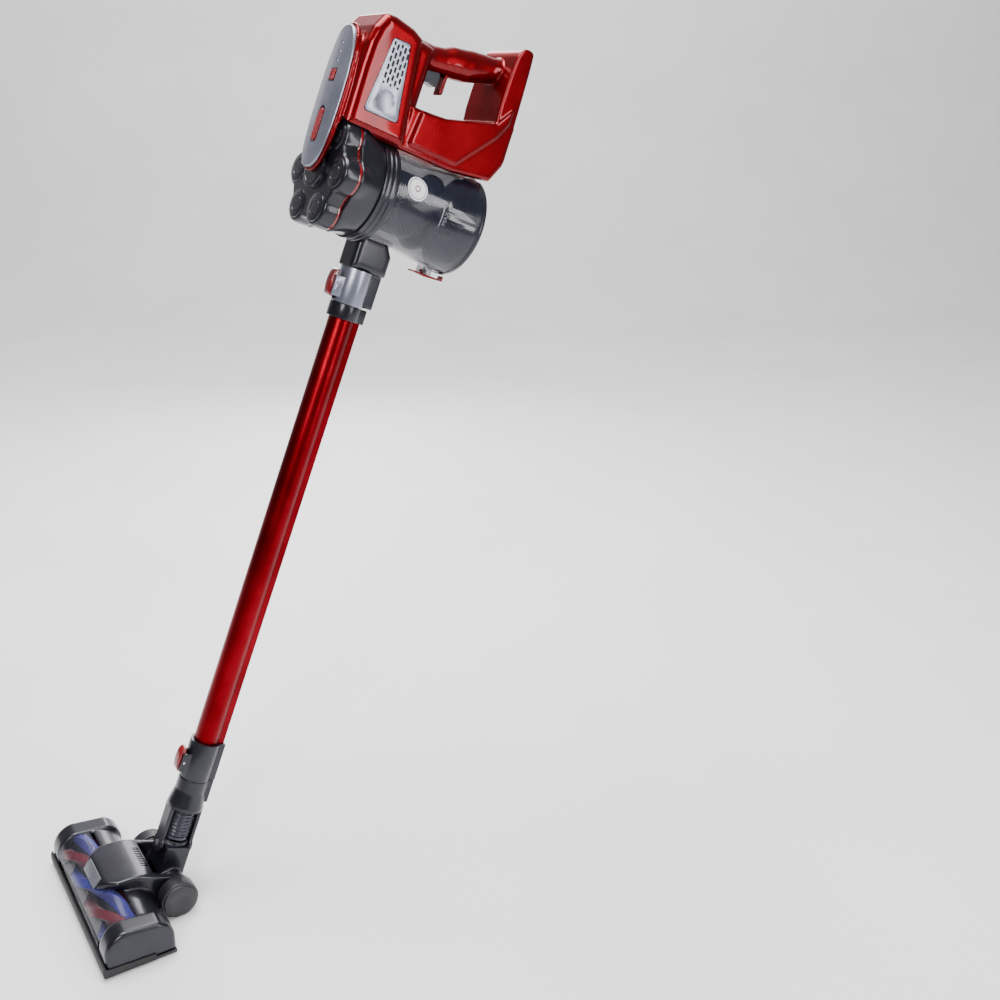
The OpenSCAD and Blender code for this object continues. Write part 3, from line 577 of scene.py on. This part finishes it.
def seam_tool(points, gap, side):
    """A thin plate along a line of (y, z) points that cuts a parting line in one side."""
    bm = bmesh.new()
    here = [bm.verts.new((side * 37.4, y, z)) for y, z in points]
    there = [bm.verts.new((side * 37.4, y, z + gap)) for y, z in reversed(points)]
    face = bm.faces.new(here + there)
    grown = bmesh.ops.extrude_face_region(bm, geom=[face])["geom"]
    moved = [g for g in grown if isinstance(g, bmesh.types.BMVert)]
    bmesh.ops.translate(bm, verts=moved, vec=(side * 20, 0, 0))
    bmesh.ops.recalc_face_normals(bm, faces=bm.faces)
    return bm


def vent_outline(inset):
    """Side vent outline as (y, z), with rounded corners."""
    i = inset
    corners = [((-75 + i, 81 + i), 4, 180, 270), ((-37 - i, 81.5 + i), 4, 270, 360),
               ((-49 - 0.6 * i, 159.5 - i), 3.5, 0, 90), ((-66 + 0.6 * i, 158.5 - i), 3.5, 90, 180)]
    points = []
    for (y, z), radius, a0, a1 in corners:
        points += arc(y, z, radius, a0, a1, 5)
    return points


def body_skin():
    """Pod, neck, battery column, foot, grip, trigger guard and beak, fused into one skin."""
    pod = [(-97, 53), (-98, 120), (-97, 148), (-93, 166), (-83, 184), (-70, 185.5), (-44, 182),
           (-29, 176), (-22, 124), (-13, 66), (-12, 53)]
    neck = [(-60, 60), (-50, 172), (-26, 178), (-3, 176), (-3, 60)]
    column = [(-20, 53), (57, 53), (118, 61), (130, 84), (130, 132), (100, 129), (98, 127),
              (32, 108), (-4, 105), (-20, 105)]
    raised = [(-8, 63), (62, 63), (107, 112), (118, 132), (118, 150), (100, 127), (32, 107),
              (-4, 103)]
    foot = [(99, 112), (98, 204), (103, 217), (109, 222), (119, 222), (123.5, 217), (130, 96),
            (130, 84)]
    guard = [(28.5, 133.5), (28.5, 166), (34.5, 166), (34.5, 136)]
    forms = [prism(pod, BODY_HALF, 16, 10), prism(neck, 30, 13, 8), prism(column, BODY_HALF - 3, 5),
             prism(raised, BODY_HALF - 1.2, 1.6, 3), prism(flowing(foot, 2), BODY_HALF - 3.5, 5),
             prism(guard, 8, 2.2, 3), swept_grip(),
             plate(panel_outline(3.4), -97.8, 6.0, 3.0)]
    skin = joined("body_skin", forms, HAND)
    fused(skin, 1.0, 9)
    cut(skin, as_object("cradle_tool", cradle_tool(), HAND @ AROUND_CUP))
    # bore for the air inlet
    inlet = turned([(0, 40), (18.5, 40), (18.5, 84), (0, 84)], 64)
    cut(skin, as_object("inlet_tool", inlet, HAND @ Matrix.Translation((0, -52, 0))))
    # parting line from the front edge down to the foot, and seats for the side vents
    line = [(-99, 63.4), (-8, 63.4), (-8, 59), (60, 59), (112, 66.4), (124, 88), (124, 130)]
    for side in (1, -1):
        cut(skin, as_object("seam_tool", seam_tool(line, 0.6, side), HAND))
        cut(skin, as_object("vent_seat", prism(vent_outline(-0.5), 3.2, 0, centre=side * 43.2),
                            HAND))
    # slot for the trigger
    cut(skin, as_object("trigger_slot",
                        prism([(-5.6, 139), (29.6, 139), (29.6, 168), (-5.6, 168)], 9, 0), HAND))
    return skin


def split_skin(skin, side, name):
    """One moulded half of the body, a hair short of the middle."""
    bm = bmesh.new()
    bm.from_mesh(skin.data)
    geom = list(bm.verts) + list(bm.edges) + list(bm.faces)
    bmesh.ops.bisect_plane(bm, geom=geom, dist=1e-7, plane_co=(side * 0.00015, 0, 0),
                           plane_no=(side, 0, 0), clear_inner=True)
    loose = [e for e in bm.edges if e.is_boundary]
    bmesh.ops.triangle_fill(bm, edges=loose, use_beauty=True, normal=(-side, 0, 0))
    return as_object(name, bm)


def build_body():
    skin = body_skin()
    for side, name in ((1, "left"), (-1, "right")):
        half = split_skin(skin, side, name + "_body_half")
        dress(half, "hand_unit", "red_gloss", name + "_shell", angle=40)
        flatter = half.modifiers.new("flatter", "WEIGHTED_NORMAL")
        flatter.keep_sharp = True
    bpy.data.objects.remove(skin)


# ---------------------------------------------------------------- top panel and vents

def capsule_outline(half, z_low, z_high):
    """A long round-ended hole as (x, z)."""
    return (arc(0, z_high - half, half, 0, 180, 14) + arc(0, z_low + half, half, 180, 360, 14))


def build_panel():
    """Silver panel in the red rim, crowned, with recesses for rocker, button and lights; thin black
    sheets at the floors of the rocker and button recesses are painted shade.
    """
    seat = -103.0
    form = sliced(plate(panel_outline(0), seat, 5.0, 2.2, 6), 27, 3)
    for vert in form.verts:
        if vert.co.y < seat - 1:
            vert.co.y += 2.9 * (vert.co.x / 30) ** 2
    panel = as_object("top_panel_cover", form, HAND)
    wells = [capsule_outline(7.6, 26.4, 69.6),
             [(-7.4, 97.6), (7.4, 97.6), (7.4, 112.4), (-7.4, 112.4)]]
    for well in wells:
        cut(panel, as_object("well", plate(well, -90, 30, 0), HAND))
    for z in (122, 132, 142):
        cut(panel, as_object("slot", plate([(-2.6, z - 1.3), (2.6, z - 1.3), (2.6, z + 1.3),
                                            (-2.6, z + 1.3)], -100, 12, 0), HAND))
    dress(panel, "hand_unit", "silver", "top_panel", angle=35)
    # thin black sheets at the floors of the rocker and button recesses: painted shade in the gaps
    # round them
    shade_floors = joined("panel_well_shade", [plate(well, -103.9, 0.4, 0) for well in wells], HAND)
    dress(shade_floors, "hand_unit", "black")


def vent_slots():
    """Five staggered rows of round-ended slots, short ones at the ends of every other row."""
    slots = []
    for row in range(5):
        y = -66 + row * 5.0
        z = 113.5 if row % 2 else 117.5
        if not row % 2:
            slots.append(prism([(y + p, 113 + q) for p, q in arc(0, 0, 1.5, 0, 342, 12)], 5, 0))
        while z < 158:
            long = min(7.0, 159 - z)
            ends = (arc(y, z + long - 1.5, 1.5, 0, 180, 6) + arc(y, z + 1.5, 1.5, 180, 360, 6))
            slots.append(prism(ends, 5, 0))
            z += 9.2
    return slots


def build_vents():
    """Side vents: a slotted plate with a scoop towards the front, set in a seat over a thin black
    sheet that paints the shade inside the slots and in the gap round the plate.
    """
    for side, name in ((1, "left"), (-1, "right")):
        shift = Matrix.Translation((side * 41.6, 0, 0))
        plate_form = prism(vent_outline(0.4), 1.0, 0)
        rims = [e for e in plate_form.edges
                if all(v.co.x * side > 0 for v in e.verts)]
        bmesh.ops.bevel(plate_form, geom=rims, offset=0.7, segments=3, profile=0.5,
                        affect="EDGES", material=-1, clamp_overlap=True)
        vent = as_object(name + "_vent_plate", plate_form, HAND @ shift)
        cut(vent, joined("slots", vent_slots(), HAND @ shift))
        scoop = bmesh.new()
        bmesh.ops.create_uvsphere(scoop, u_segments=96, v_segments=64, radius=60)
        place = HAND @ Matrix.Translation((side * (42.6 + 58.6), -56, 95))
        cut(vent, as_object("scoop", scoop, place))
        dress(vent, "hand_unit", "silver", name + "_vent", angle=30)
        # a thin black sheet a little wider than the plate: painted shade behind the slots and in
        # the gap round its rim
        shade_sheet_form = prism(vent_outline(-0.3), 0.2, 0)
        shade_sheet = as_object(name + "_vent_shade_sheet", shade_sheet_form,
                            HAND @ Matrix.Translation((side * 40.3, 0, 0)))
        dress(shade_sheet, "hand_unit", "black")


# ---------------------------------------------------------------- six-lobed cap

CAP_STEPS = 216
LOBE_OUT = 48.0


def lobed_radius(angle, base, lobe):
    """Radius of a round body merged with six round lobes, softly joined."""
    off = (angle + math.pi / 6) % (math.pi / 3) - math.pi / 6
    across = LOBE_OUT * math.sin(off)
    bulge = 0.0
    if abs(across) < lobe:
        bulge = LOBE_OUT * math.cos(off) + math.sqrt(lobe * lobe - across * across)
    blend = 2.5
    gap = bulge - base
    return base + (gap + math.sqrt(gap * gap + blend * blend)) / 2 - 0.4


def lobed_stack(levels):
    """Rings of lobed outline, each level (height, body radius, lobe radius), skinned in turn."""
    bm = bmesh.new()
    ring = bmesh.ops.create_circle(bm, segments=CAP_STEPS, radius=1.0)["verts"]
    ring.sort(key=lambda v: math.atan2(v.co.y, v.co.x))
    angles = [math.atan2(v.co.y, v.co.x) for v in ring]

    def lay(verts, level):
        height, base, lobe = level
        for vert, angle in zip(verts, angles):
            r = lobed_radius(angle, base, lobe)
            vert.co = Vector((r * math.cos(angle), r * math.sin(angle), height))

    lay(ring, levels[0])
    bottom = list(ring)
    for level in levels[1:]:
        edges = [e for e in bm.edges if all(v in set(ring) for v in e.verts)]
        grown = bmesh.ops.extrude_edge_only(bm, edges=edges)["geom"]
        new = [g for g in grown if isinstance(g, bmesh.types.BMVert)]
        new.sort(key=lambda v: math.atan2(v.co.y, v.co.x))
        lay(new, level)
        ring = new
    bmesh.ops.contextual_create(bm, geom=ring)
    bmesh.ops.contextual_create(bm, geom=bottom)
    bmesh.ops.recalc_face_normals(bm, faces=bm.faces)
    return bm


def eased_levels(top, base, lobe, radius, steps):
    """Levels that roll a lobed edge over from its wall to its flat face."""
    levels = []
    for i in range(steps + 1):
        turn = math.pi / 2 * i / steps
        back = radius * (1 - math.cos(turn))
        levels.append((top - radius * (1 - math.sin(turn)), base - back, lobe - back))
    return levels


def build_cap():
    """Grey cap: petals that swell towards the crown, a groove, and a crown with round caps."""
    petals = [(35.1, 60.0, 9.0), (36.2, 60.4, 10.0), (44, 60.4, 13.5), (54, 60.4, 17.5),
              (62, 60.4, 20.5), (66, 60.4, 21.6)] + eased_levels(68.4, 60.4, 21.6, 1.5, 5)
    neck = [(66.5, 52, 16.5), (74, 52, 16.5)]
    crown = [(72.2, 55.5, 20.5), (72.6, 56.6, 21.4), (73.4, 57, 21.9), (80, 57, 22.0),
             (85.5, 56.6, 21.8)] + eased_levels(90.9, 56.4, 21.6, 4.0, 8)
    forms = [lobed_stack(petals), lobed_stack(neck), lobed_stack(crown)]
    middle = turned([(0, 88), (21.5, 88), (21.5, 95.2), (20.9, 96.6), (19.5, 97.3), (16.4, 97.3),
                     (15.8, 96.7), (15.2, 97.3), (0, 97.5)], 96)
    forms.append(middle)
    place = HAND @ Matrix.Rotation(math.radians(90), 4, "X")
    for k in range(6):
        disc = turned([(0, 88), (17.4, 88), (17.4, 91.2), (16.8, 92.3), (15.8, 92.8), (9.8, 92.9),
                       (9.3, 92.0), (8.8, 92.0), (8.3, 92.9), (0, 93.1)], 72)
        turn = math.tau * k / 6
        bmesh.ops.translate(disc, verts=disc.verts,
                            vec=(LOBE_OUT * math.cos(turn), LOBE_OUT * math.sin(turn), 0))
        forms.append(disc)
    cap = joined("cap_crown", forms, place)
    dress(cap, "cap", "grey", "cap", angle=30)
    ring = lobed_stack([(68.5, 54, 19.6), (68.7, 54.8, 20.4), (70.4, 55, 20.6), (72.0, 54.8, 20.4),
                        (72.2, 54, 19.6)])
    dress(as_object("cap_band", ring, place), "cap", "red_clear", "cap_ring", angle=50)


# ---------------------------------------------------------------- dust cup details

CUP_OUTSIDE = 56.25

def build_screen():
    """Cyclone screen: a tube with staggered small holes, and a collar round its foot."""
    radius = 38.0
    rows = 20
    columns = 84
    start = -11.0
    pitch = 2.9
    bm = bmesh.new()
    ring = bmesh.ops.create_circle(bm, segments=columns, radius=radius)["verts"]
    bmesh.ops.translate(bm, verts=ring, vec=(0, 0, start))
    edges = list(bm.edges)
    for _ in range(rows):
        grown = bmesh.ops.extrude_edge_only(bm, edges=edges)["geom"]
        new = [g for g in grown if isinstance(g, bmesh.types.BMVert)]
        edges = [g for g in grown if isinstance(g, bmesh.types.BMEdge)
                 and all(v in set(new) for v in g.verts)]
        bmesh.ops.translate(bm, verts=new, vec=(0, 0, pitch))

    def holed(face):
        middle = face.calc_center_median()
        row = round((middle.z - start) / pitch - 0.5)
        column = round(math.atan2(middle.y, middle.x) / math.tau * columns - 0.5)
        return 1 <= row < rows - 2 and (row + column) % 2 == 0

    chosen = [f for f in bm.faces if holed(f)]
    bmesh.ops.inset_individual(bm, faces=chosen, thickness=0.42, use_even_offset=True)
    bmesh.ops.delete(bm, geom=chosen, context="FACES")
    screen = as_object("screen_tube", bm, HAND @ AROUND_CUP)
    wall = screen.modifiers.new("wall", "SOLIDIFY")
    wall.thickness = 1.4 * MM
    wall.offset = -1
    rounder = screen.modifiers.new("round", "SUBSURF")
    rounder.levels = 1
    rounder.render_levels = 1
    apply_modifiers(screen)
    dress(screen, "dust_cup", "grey", "cyclone_screen", finish="screen", angle=60)
    collar = turned([(36, -14), (40.5, -14), (41.5, -13), (41.5, -7), (40.5, -6), (39.2, -5.5),
                     (36, -5.5)], 128)
    collar = as_object("screen_collar", collar, HAND @ AROUND_CUP)
    dress(collar, "dust_cup", "grey", finish="screen")


def wrapped(form, radius):
    """Bends a flat form round the cup: x runs round the wall, y along it, z out of it."""
    for vert in form.verts:
        turn = vert.co.x / radius
        reach = radius + 0.05 + vert.co.z
        vert.co = Vector((reach * math.sin(turn), -reach * math.cos(turn), vert.co.y))
    return form


def on_cup(name, form, along, turn, finish):
    """Prints a flat form on the cup wall, at a distance along it and an angle round it."""
    place = (HAND @ AROUND_CUP @ Matrix.Translation((0, 0, along))
             @ Matrix.Rotation(math.radians(turn), 4, "Z"))
    made = as_object(name, wrapped(form, CUP_OUTSIDE), place)
    dress(made, "dust_cup", "clear", finish=finish, angle=60)


def build_cup_marks():
    """A plain round label, and a fill line with the word for full beside it."""
    disc = sliced(turned([(0, 0), (14.2, 0), (14.2, 0.25), (0, 0.25)], 96), 12, 3)
    on_cup("plain_round_label", disc, 14.5, 71, "badge")
    ring = turned([(11.6, 0.2), (12.4, 0.2), (12.4, 0.4), (11.6, 0.4)], 96)
    on_cup("label_ring", ring, 14.5, 71, "screen")
    eye = turned([(2.6, 0.2), (3.8, 0.2), (3.8, 0.4), (2.6, 0.4)], 48)
    on_cup("label_eye", eye, 14.5, 71, "red_clear")
    line = bmesh.new()
    bmesh.ops.create_grid(line, x_segments=24, y_segments=1, size=1.0)
    bmesh.ops.scale(line, verts=line.verts, vec=(11, 0.35, 1))
    on_cup("fill_line", line, 57, 92, "print")
    curve = bpy.data.curves.new("max_mark", "FONT")
    curve.body = "MAX"
    curve.size = 8.0
    curve.align_x = "CENTER"
    letters = bpy.data.objects.new("max_mark", curve)
    bpy.context.scene.collection.objects.link(letters)
    bpy.context.view_layer.update()
    graph = bpy.context.evaluated_depsgraph_get()
    flat = bpy.data.meshes.new_from_object(letters.evaluated_get(graph))
    bpy.data.objects.remove(letters)
    form = bmesh.new()
    form.from_mesh(flat)
    bpy.data.meshes.remove(flat)
    sliced(form, 10, 2)
    bmesh.ops.rotate(form, verts=form.verts, cent=(0, 0, 0),
                     matrix=Matrix.Rotation(math.pi, 3, "Z"))
    on_cup("max_letters", form, 65, 92, "print")


# ---------------------------------------------------------------- nozzle under the cup

def build_nozzle():
    """Tapered inlet box with soft edges, and the channel that carries the wires down."""
    side = [(-19.4, -92), (-19.4, -60), (-15, -50), (22, -50), (25, -56), (32, -66), (32, -92)]
    forms = [prism(side, 19.6, 7, 8), prism([(14, -134), (14, -80), (33, -80), (33, -134)], 9.4, 3)]
    box = joined("nozzle_box", forms, HAND)
    fused(box, 1.0, 8)
    for radius, low, high in ((13, -100, -30), (20.1, -150, -92)):
        bore = turned([(0, low), (radius, low), (radius, high), (0, high)], 96)
        cut(box, as_object("bore", bore, HAND))
    seat = turned([(0, -60), (62.1, -60), (62.1, -14.2), (56.1, -14.2), (56.1, 80), (0, 80)], 128)
    cut(box, as_object("seat", seat, HAND @ AROUND_CUP))
    dress(box, "dust_cup", "grey", "nozzle", angle=40)


# ---------------------------------------------------------------- floor head

ALONG_X = Matrix.Rotation(math.radians(90), 4, "Y")         # turns +Z into +X
BRUSH_Y = -14.0
BRUSH_Z = 27.0
HEAD_HALF = 124.0
WINDOW_HALF = 94.0


def bore_x(radius, half, y, z):
    """A plain bore along X."""
    form = turned([(0, -half), (radius, -half), (radius, half), (0, half)])
    bmesh.ops.transform(form, matrix=Matrix.Translation((0, y, z)) @ ALONG_X, verts=form.verts)
    return form


def build_head_cover():
    """Cover of the head: end caps, back, raised nose over the lamp and a fender each side."""
    cap_side = ([(-44.4, 6)] + arc(BRUSH_Y, BRUSH_Z, 30.4, 180, 97, 12)
                + arc(17, 26, 27.7, 70, 0, 10) + [(44.7, 6)])
    back = [(4, 6)] + arc(6, 14.5, 38.0, 92, 10, 10) + [(43.4, 6)]
    nose = flowing([(-28, 50), (-18, 65), (-6, 66.8), (26, 66.4), (44, 61), (59, 50), (59, 20),
                    (6, 20), (6, 40)], 3)
    fender = flowing(arc(71, 25, 22.4, -90, 75, 14)
                     + [(56, 54), (40, 61), (20, 63), (16, 50), (16, 8)], 2)
    middle = prism(nose, 44, 7, 8)
    for vert in middle.verts:
        if vert.co.y < 0:
            vert.co.x *= 1 - 0.42 * min(1, -vert.co.y / 27)
    forms = [prism(back, 120.5, 2), middle]
    for side in (1, -1):
        forms.append(prism(cap_side, 15, 5.5, 6, centre=side * (HEAD_HALF - 15)))
        forms.append(prism(fender, 5, 3, 5, centre=side * 39.6))
    cover = joined("head_cover", forms, ROW)
    fused(cover, 1.1, 7)
    # room for the window and brush, the mouth, the yoke's drum and pocket, the duct, the lens
    spaces = [
        bore_x(30.6, WINDOW_HALF, BRUSH_Y, BRUSH_Z),
        bore_x(28.0, HEAD_HALF - 8, BRUSH_Y, BRUSH_Z),
        prism([(-37, -5), (-37, 20), (6, 20), (6, -5)], HEAD_HALF - 14, 0),
        bore_x(19.8, 34.6, 71, 25),
        prism([(47.5, -5), (47.5, 70), (110, 70), (110, -5)], 34.5, 0),
        prism([(0, 16), (0, 44), (52, 44), (52, 16)], 16, 0),
        prism([(BRUSH_Y - 14.2, 54.2), (BRUSH_Y - 3, 67.2), (BRUSH_Y - 1.4, 65.6),
               (BRUSH_Y - 12.5, 52.4)], 23.2, 0)]
    for space in spaces:
        cut(cover, as_object("cutter", space, ROW))
    # small grating behind the raised middle
    bars = [prism([(37, 40), (37, 70), (46, 70), (46, 40)], 1.1, 0, centre=x)
            for x in range(-20, 21, 4)]
    cut(cover, joined("grating", bars, ROW))
    dress(cover, "head", "grey", "head_housing", angle=38)


def build_bumper():
    """Soft black strip along the front of the head and a little way down its ends."""
    strip = flowing([(-44.4, 3), (-47.4, 3), (-48.6, 6), (-48.8, 14), (-47.4, 19.4),
                     (-44.4, 20.6)], 2)
    forms = [prism(strip, HEAD_HALF + 2, 3, 5)]
    for side in (1, -1):
        forms.append(prism([(-47, 3), (18, 3), (18, 12), (-47, 15)], 1.1, 0,
                           centre=side * (HEAD_HALF + 0.9)))
    bumper = fused(joined("bumper_strip", forms, ROW), 0.9, 4)
    dress(bumper, "head", SLOT_OF["bumper"], "bumper", angle=50)


def build_bellows():
    """Corrugated rubber sleeve between the neck and the yoke."""
    ribs = 9
    pitch = 5.0
    outside = [(16.0, 11.8), (16.0, 14.6)]
    for k in range(ribs):
        base = 15.2 + k * pitch
        outside += [(14.2 + 2.3 * (1 - math.cos(math.tau * i / 8)) / 2, base + pitch * i / 8)
                    for i in range(8)]
    outside += [(14.2, 61), (15.4, 61.6), (15.4, 64.4)]
    profile = [(12.4, 11.8)] + outside + [(12.4, 64.4)]
    sleeve = as_object("bellows_sleeve", turned(profile, 96), NECK)
    dress(sleeve, None, "rubber", "bellows", finish="sleeve", angle=60)
    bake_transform(sleeve)


def build_latch(node, joint):
    """Round-backed thumb pad of a latch, standing between its two ears."""
    pivot = HAND.inverted() @ Vector(joints[joint]["pos_m"])
    middle = pivot.z + 2.8
    pad = [(-25.2 - 8.0 * math.sin(math.pi * i / 28) ** 0.6,
            middle - 16.8 * math.cos(math.pi * i / 28)) for i in range(29)]
    form = as_object(node + "_pad", prism(pad, 6.4, 2.2, 6), HAND)
    dress(form, body_of_node(node), "red_clear", node, angle=50)


# ---------------------------------------------------------------- brush

def build_bristles():
    """Wide spiral rows of tufts round the brush core, two red and two blue."""
    origin = Vector(joints["brush_spin"]["pos_m"]) * 1000
    low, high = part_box("red_bristles")
    length = (high[0] - low[0]) / MM
    start_x = low[0] / MM
    turns = math.radians(300)
    steps = 90
    for name, slot, first in (("red", "red_tuft", 0), ("blue", "blue_tuft", 90)):
        forms = []
        for k in range(2):
            bm = bmesh.new()
            middle = first + 180 * k
            inner = arc(0, 0, 12.8, middle - 26, middle + 26, 6)
            outer = arc(0, 0, 25.2, middle + 15, middle - 15, 6)
            verts = [bm.verts.new((start_x, origin.y + p, origin.z + q)) for p, q in inner + outer]
            face = bm.faces.new(verts)
            bmesh.ops.spin(bm, geom=[face] + list(face.edges) + list(face.verts),
                           cent=(0, origin.y, origin.z), axis=(1, 0, 0), angle=-turns,
                           dvec=(length / steps, 0, 0), steps=steps)
            bmesh.ops.recalc_face_normals(bm, faces=bm.faces)
            forms.append(bm)
        tufts = joined(name + "_tuft_rows", forms, ROW)
        dress(tufts, "brush", slot, name + "_bristles", angle=40)


# ---------------------------------------------------------------- studio

def light_studio():
    """Five soft boxes and a dim white surround."""
    soft_box("key", (1.9, -1.3, 2.3), (0, 0.35, 0.6), (0.9, 1.5), 62)
    soft_box("side", (2.1, 1.3, 1.3), (0, 0.3, 0.6), (0.5, 1.8), 30)
    soft_box("top", (-0.3, 0.2, 2.7), (0, 0.3, 0.5), (1.6, 1.6), 55)
    soft_box("rim", (-1.7, 1.2, 1.5), (0, 0.3, 0.7), (0.6, 1.8), 30)
    soft_box("sweep", (-0.6, 0.6, 4.2), (-3.6, 2.8, 0.6), (3.0, 3.0), 260)
    world = bpy.data.worlds.new("studio")
    world.use_nodes = True
    surround = world.node_tree.nodes["Background"]
    surround.inputs["Color"].default_value = (1, 1, 1, 1)
    surround.inputs["Strength"].default_value = 0.22
    bpy.context.scene.world = world


def build_sweep():
    """A pale floor that curves up into a wall behind the object."""
    bm = bmesh.new()
    profile = [(-7.0, 0.0), (3.6, 0.0)] + arc(3.6, 1.4, 1.4, -80, -10, 9) + [(5.0, 7.0)]
    verts = [bm.verts.new((u, -9.0, z)) for u, z in profile]
    edges = [bm.edges.new(pair) for pair in zip(verts, verts[1:])]
    grown = bmesh.ops.extrude_edge_only(bm, edges=edges)["geom"]
    moved = [g for g in grown if isinstance(g, bmesh.types.BMVert)]
    bmesh.ops.translate(bm, verts=moved, vec=(0, 18.0, 0))
    bmesh.ops.recalc_face_normals(bm, faces=bm.faces)
    turn = Matrix.Rotation(math.atan2(0.64, -1.09), 4, "Z")
    sweep = as_object("studio_sweep", bm, turn)
    sweep.data.materials.append(painted_floor())
    sweep.data.shade_smooth()


place_camera()
light_studio()
build_sweep()

build_body()
build_panel()
build_vents()
build_cap()
build_screen()
build_bristles()
build_cup_marks()
build_nozzle()
build_head_cover()
build_bumper()
build_bellows()
build_latch("nozzle_latch", "nozzle_latch_press")
build_latch("wand_latch", "wand_latch_press")

# CAD solids whose shape is right, with the ease of their edges in mm
EASED = {
    "nozzle_sleeve": 0.6, "upper_collar": 0.8, "lower_collar": 1.0, "wand_tube": 0.4,
    "cup_ring": 0.4, "cyclone_skirt": 0.5, "centre_tube": 0.3, "cup_lid": 0.8,
    "cup_wall": 0.3, "sole_plate": 0.4, "left_wheel": 1.2, "right_wheel": 1.2,
}
for node_name, edge in EASED.items():
    eased_copy(node_name, edge)
eased_copy("lamp_lens", 0.3, finish="lens")
eased_copy("brush_core", 0.4, finish="black")
eased_copy("head_window", 0.3, finish="window")
# mouldings whose edges flow: voxel in mm, and rounds of smoothing
soft_copy("neck_tube", 0.8, 4)
soft_copy("yoke", 0.9, 8)
soft_copy("trigger", 0.5, 7)
for node_name in ("cup_latch", "cup_release", "mode_button"):
    soft_copy(node_name, 0.35, 5)

for node_name, node_object in frame["nodes"].items():
    node_object.data.materials.clear()
    node_object.data.materials.append(FINISH[SLOT_OF[node_name]])

bpy.context.view_layer.update()
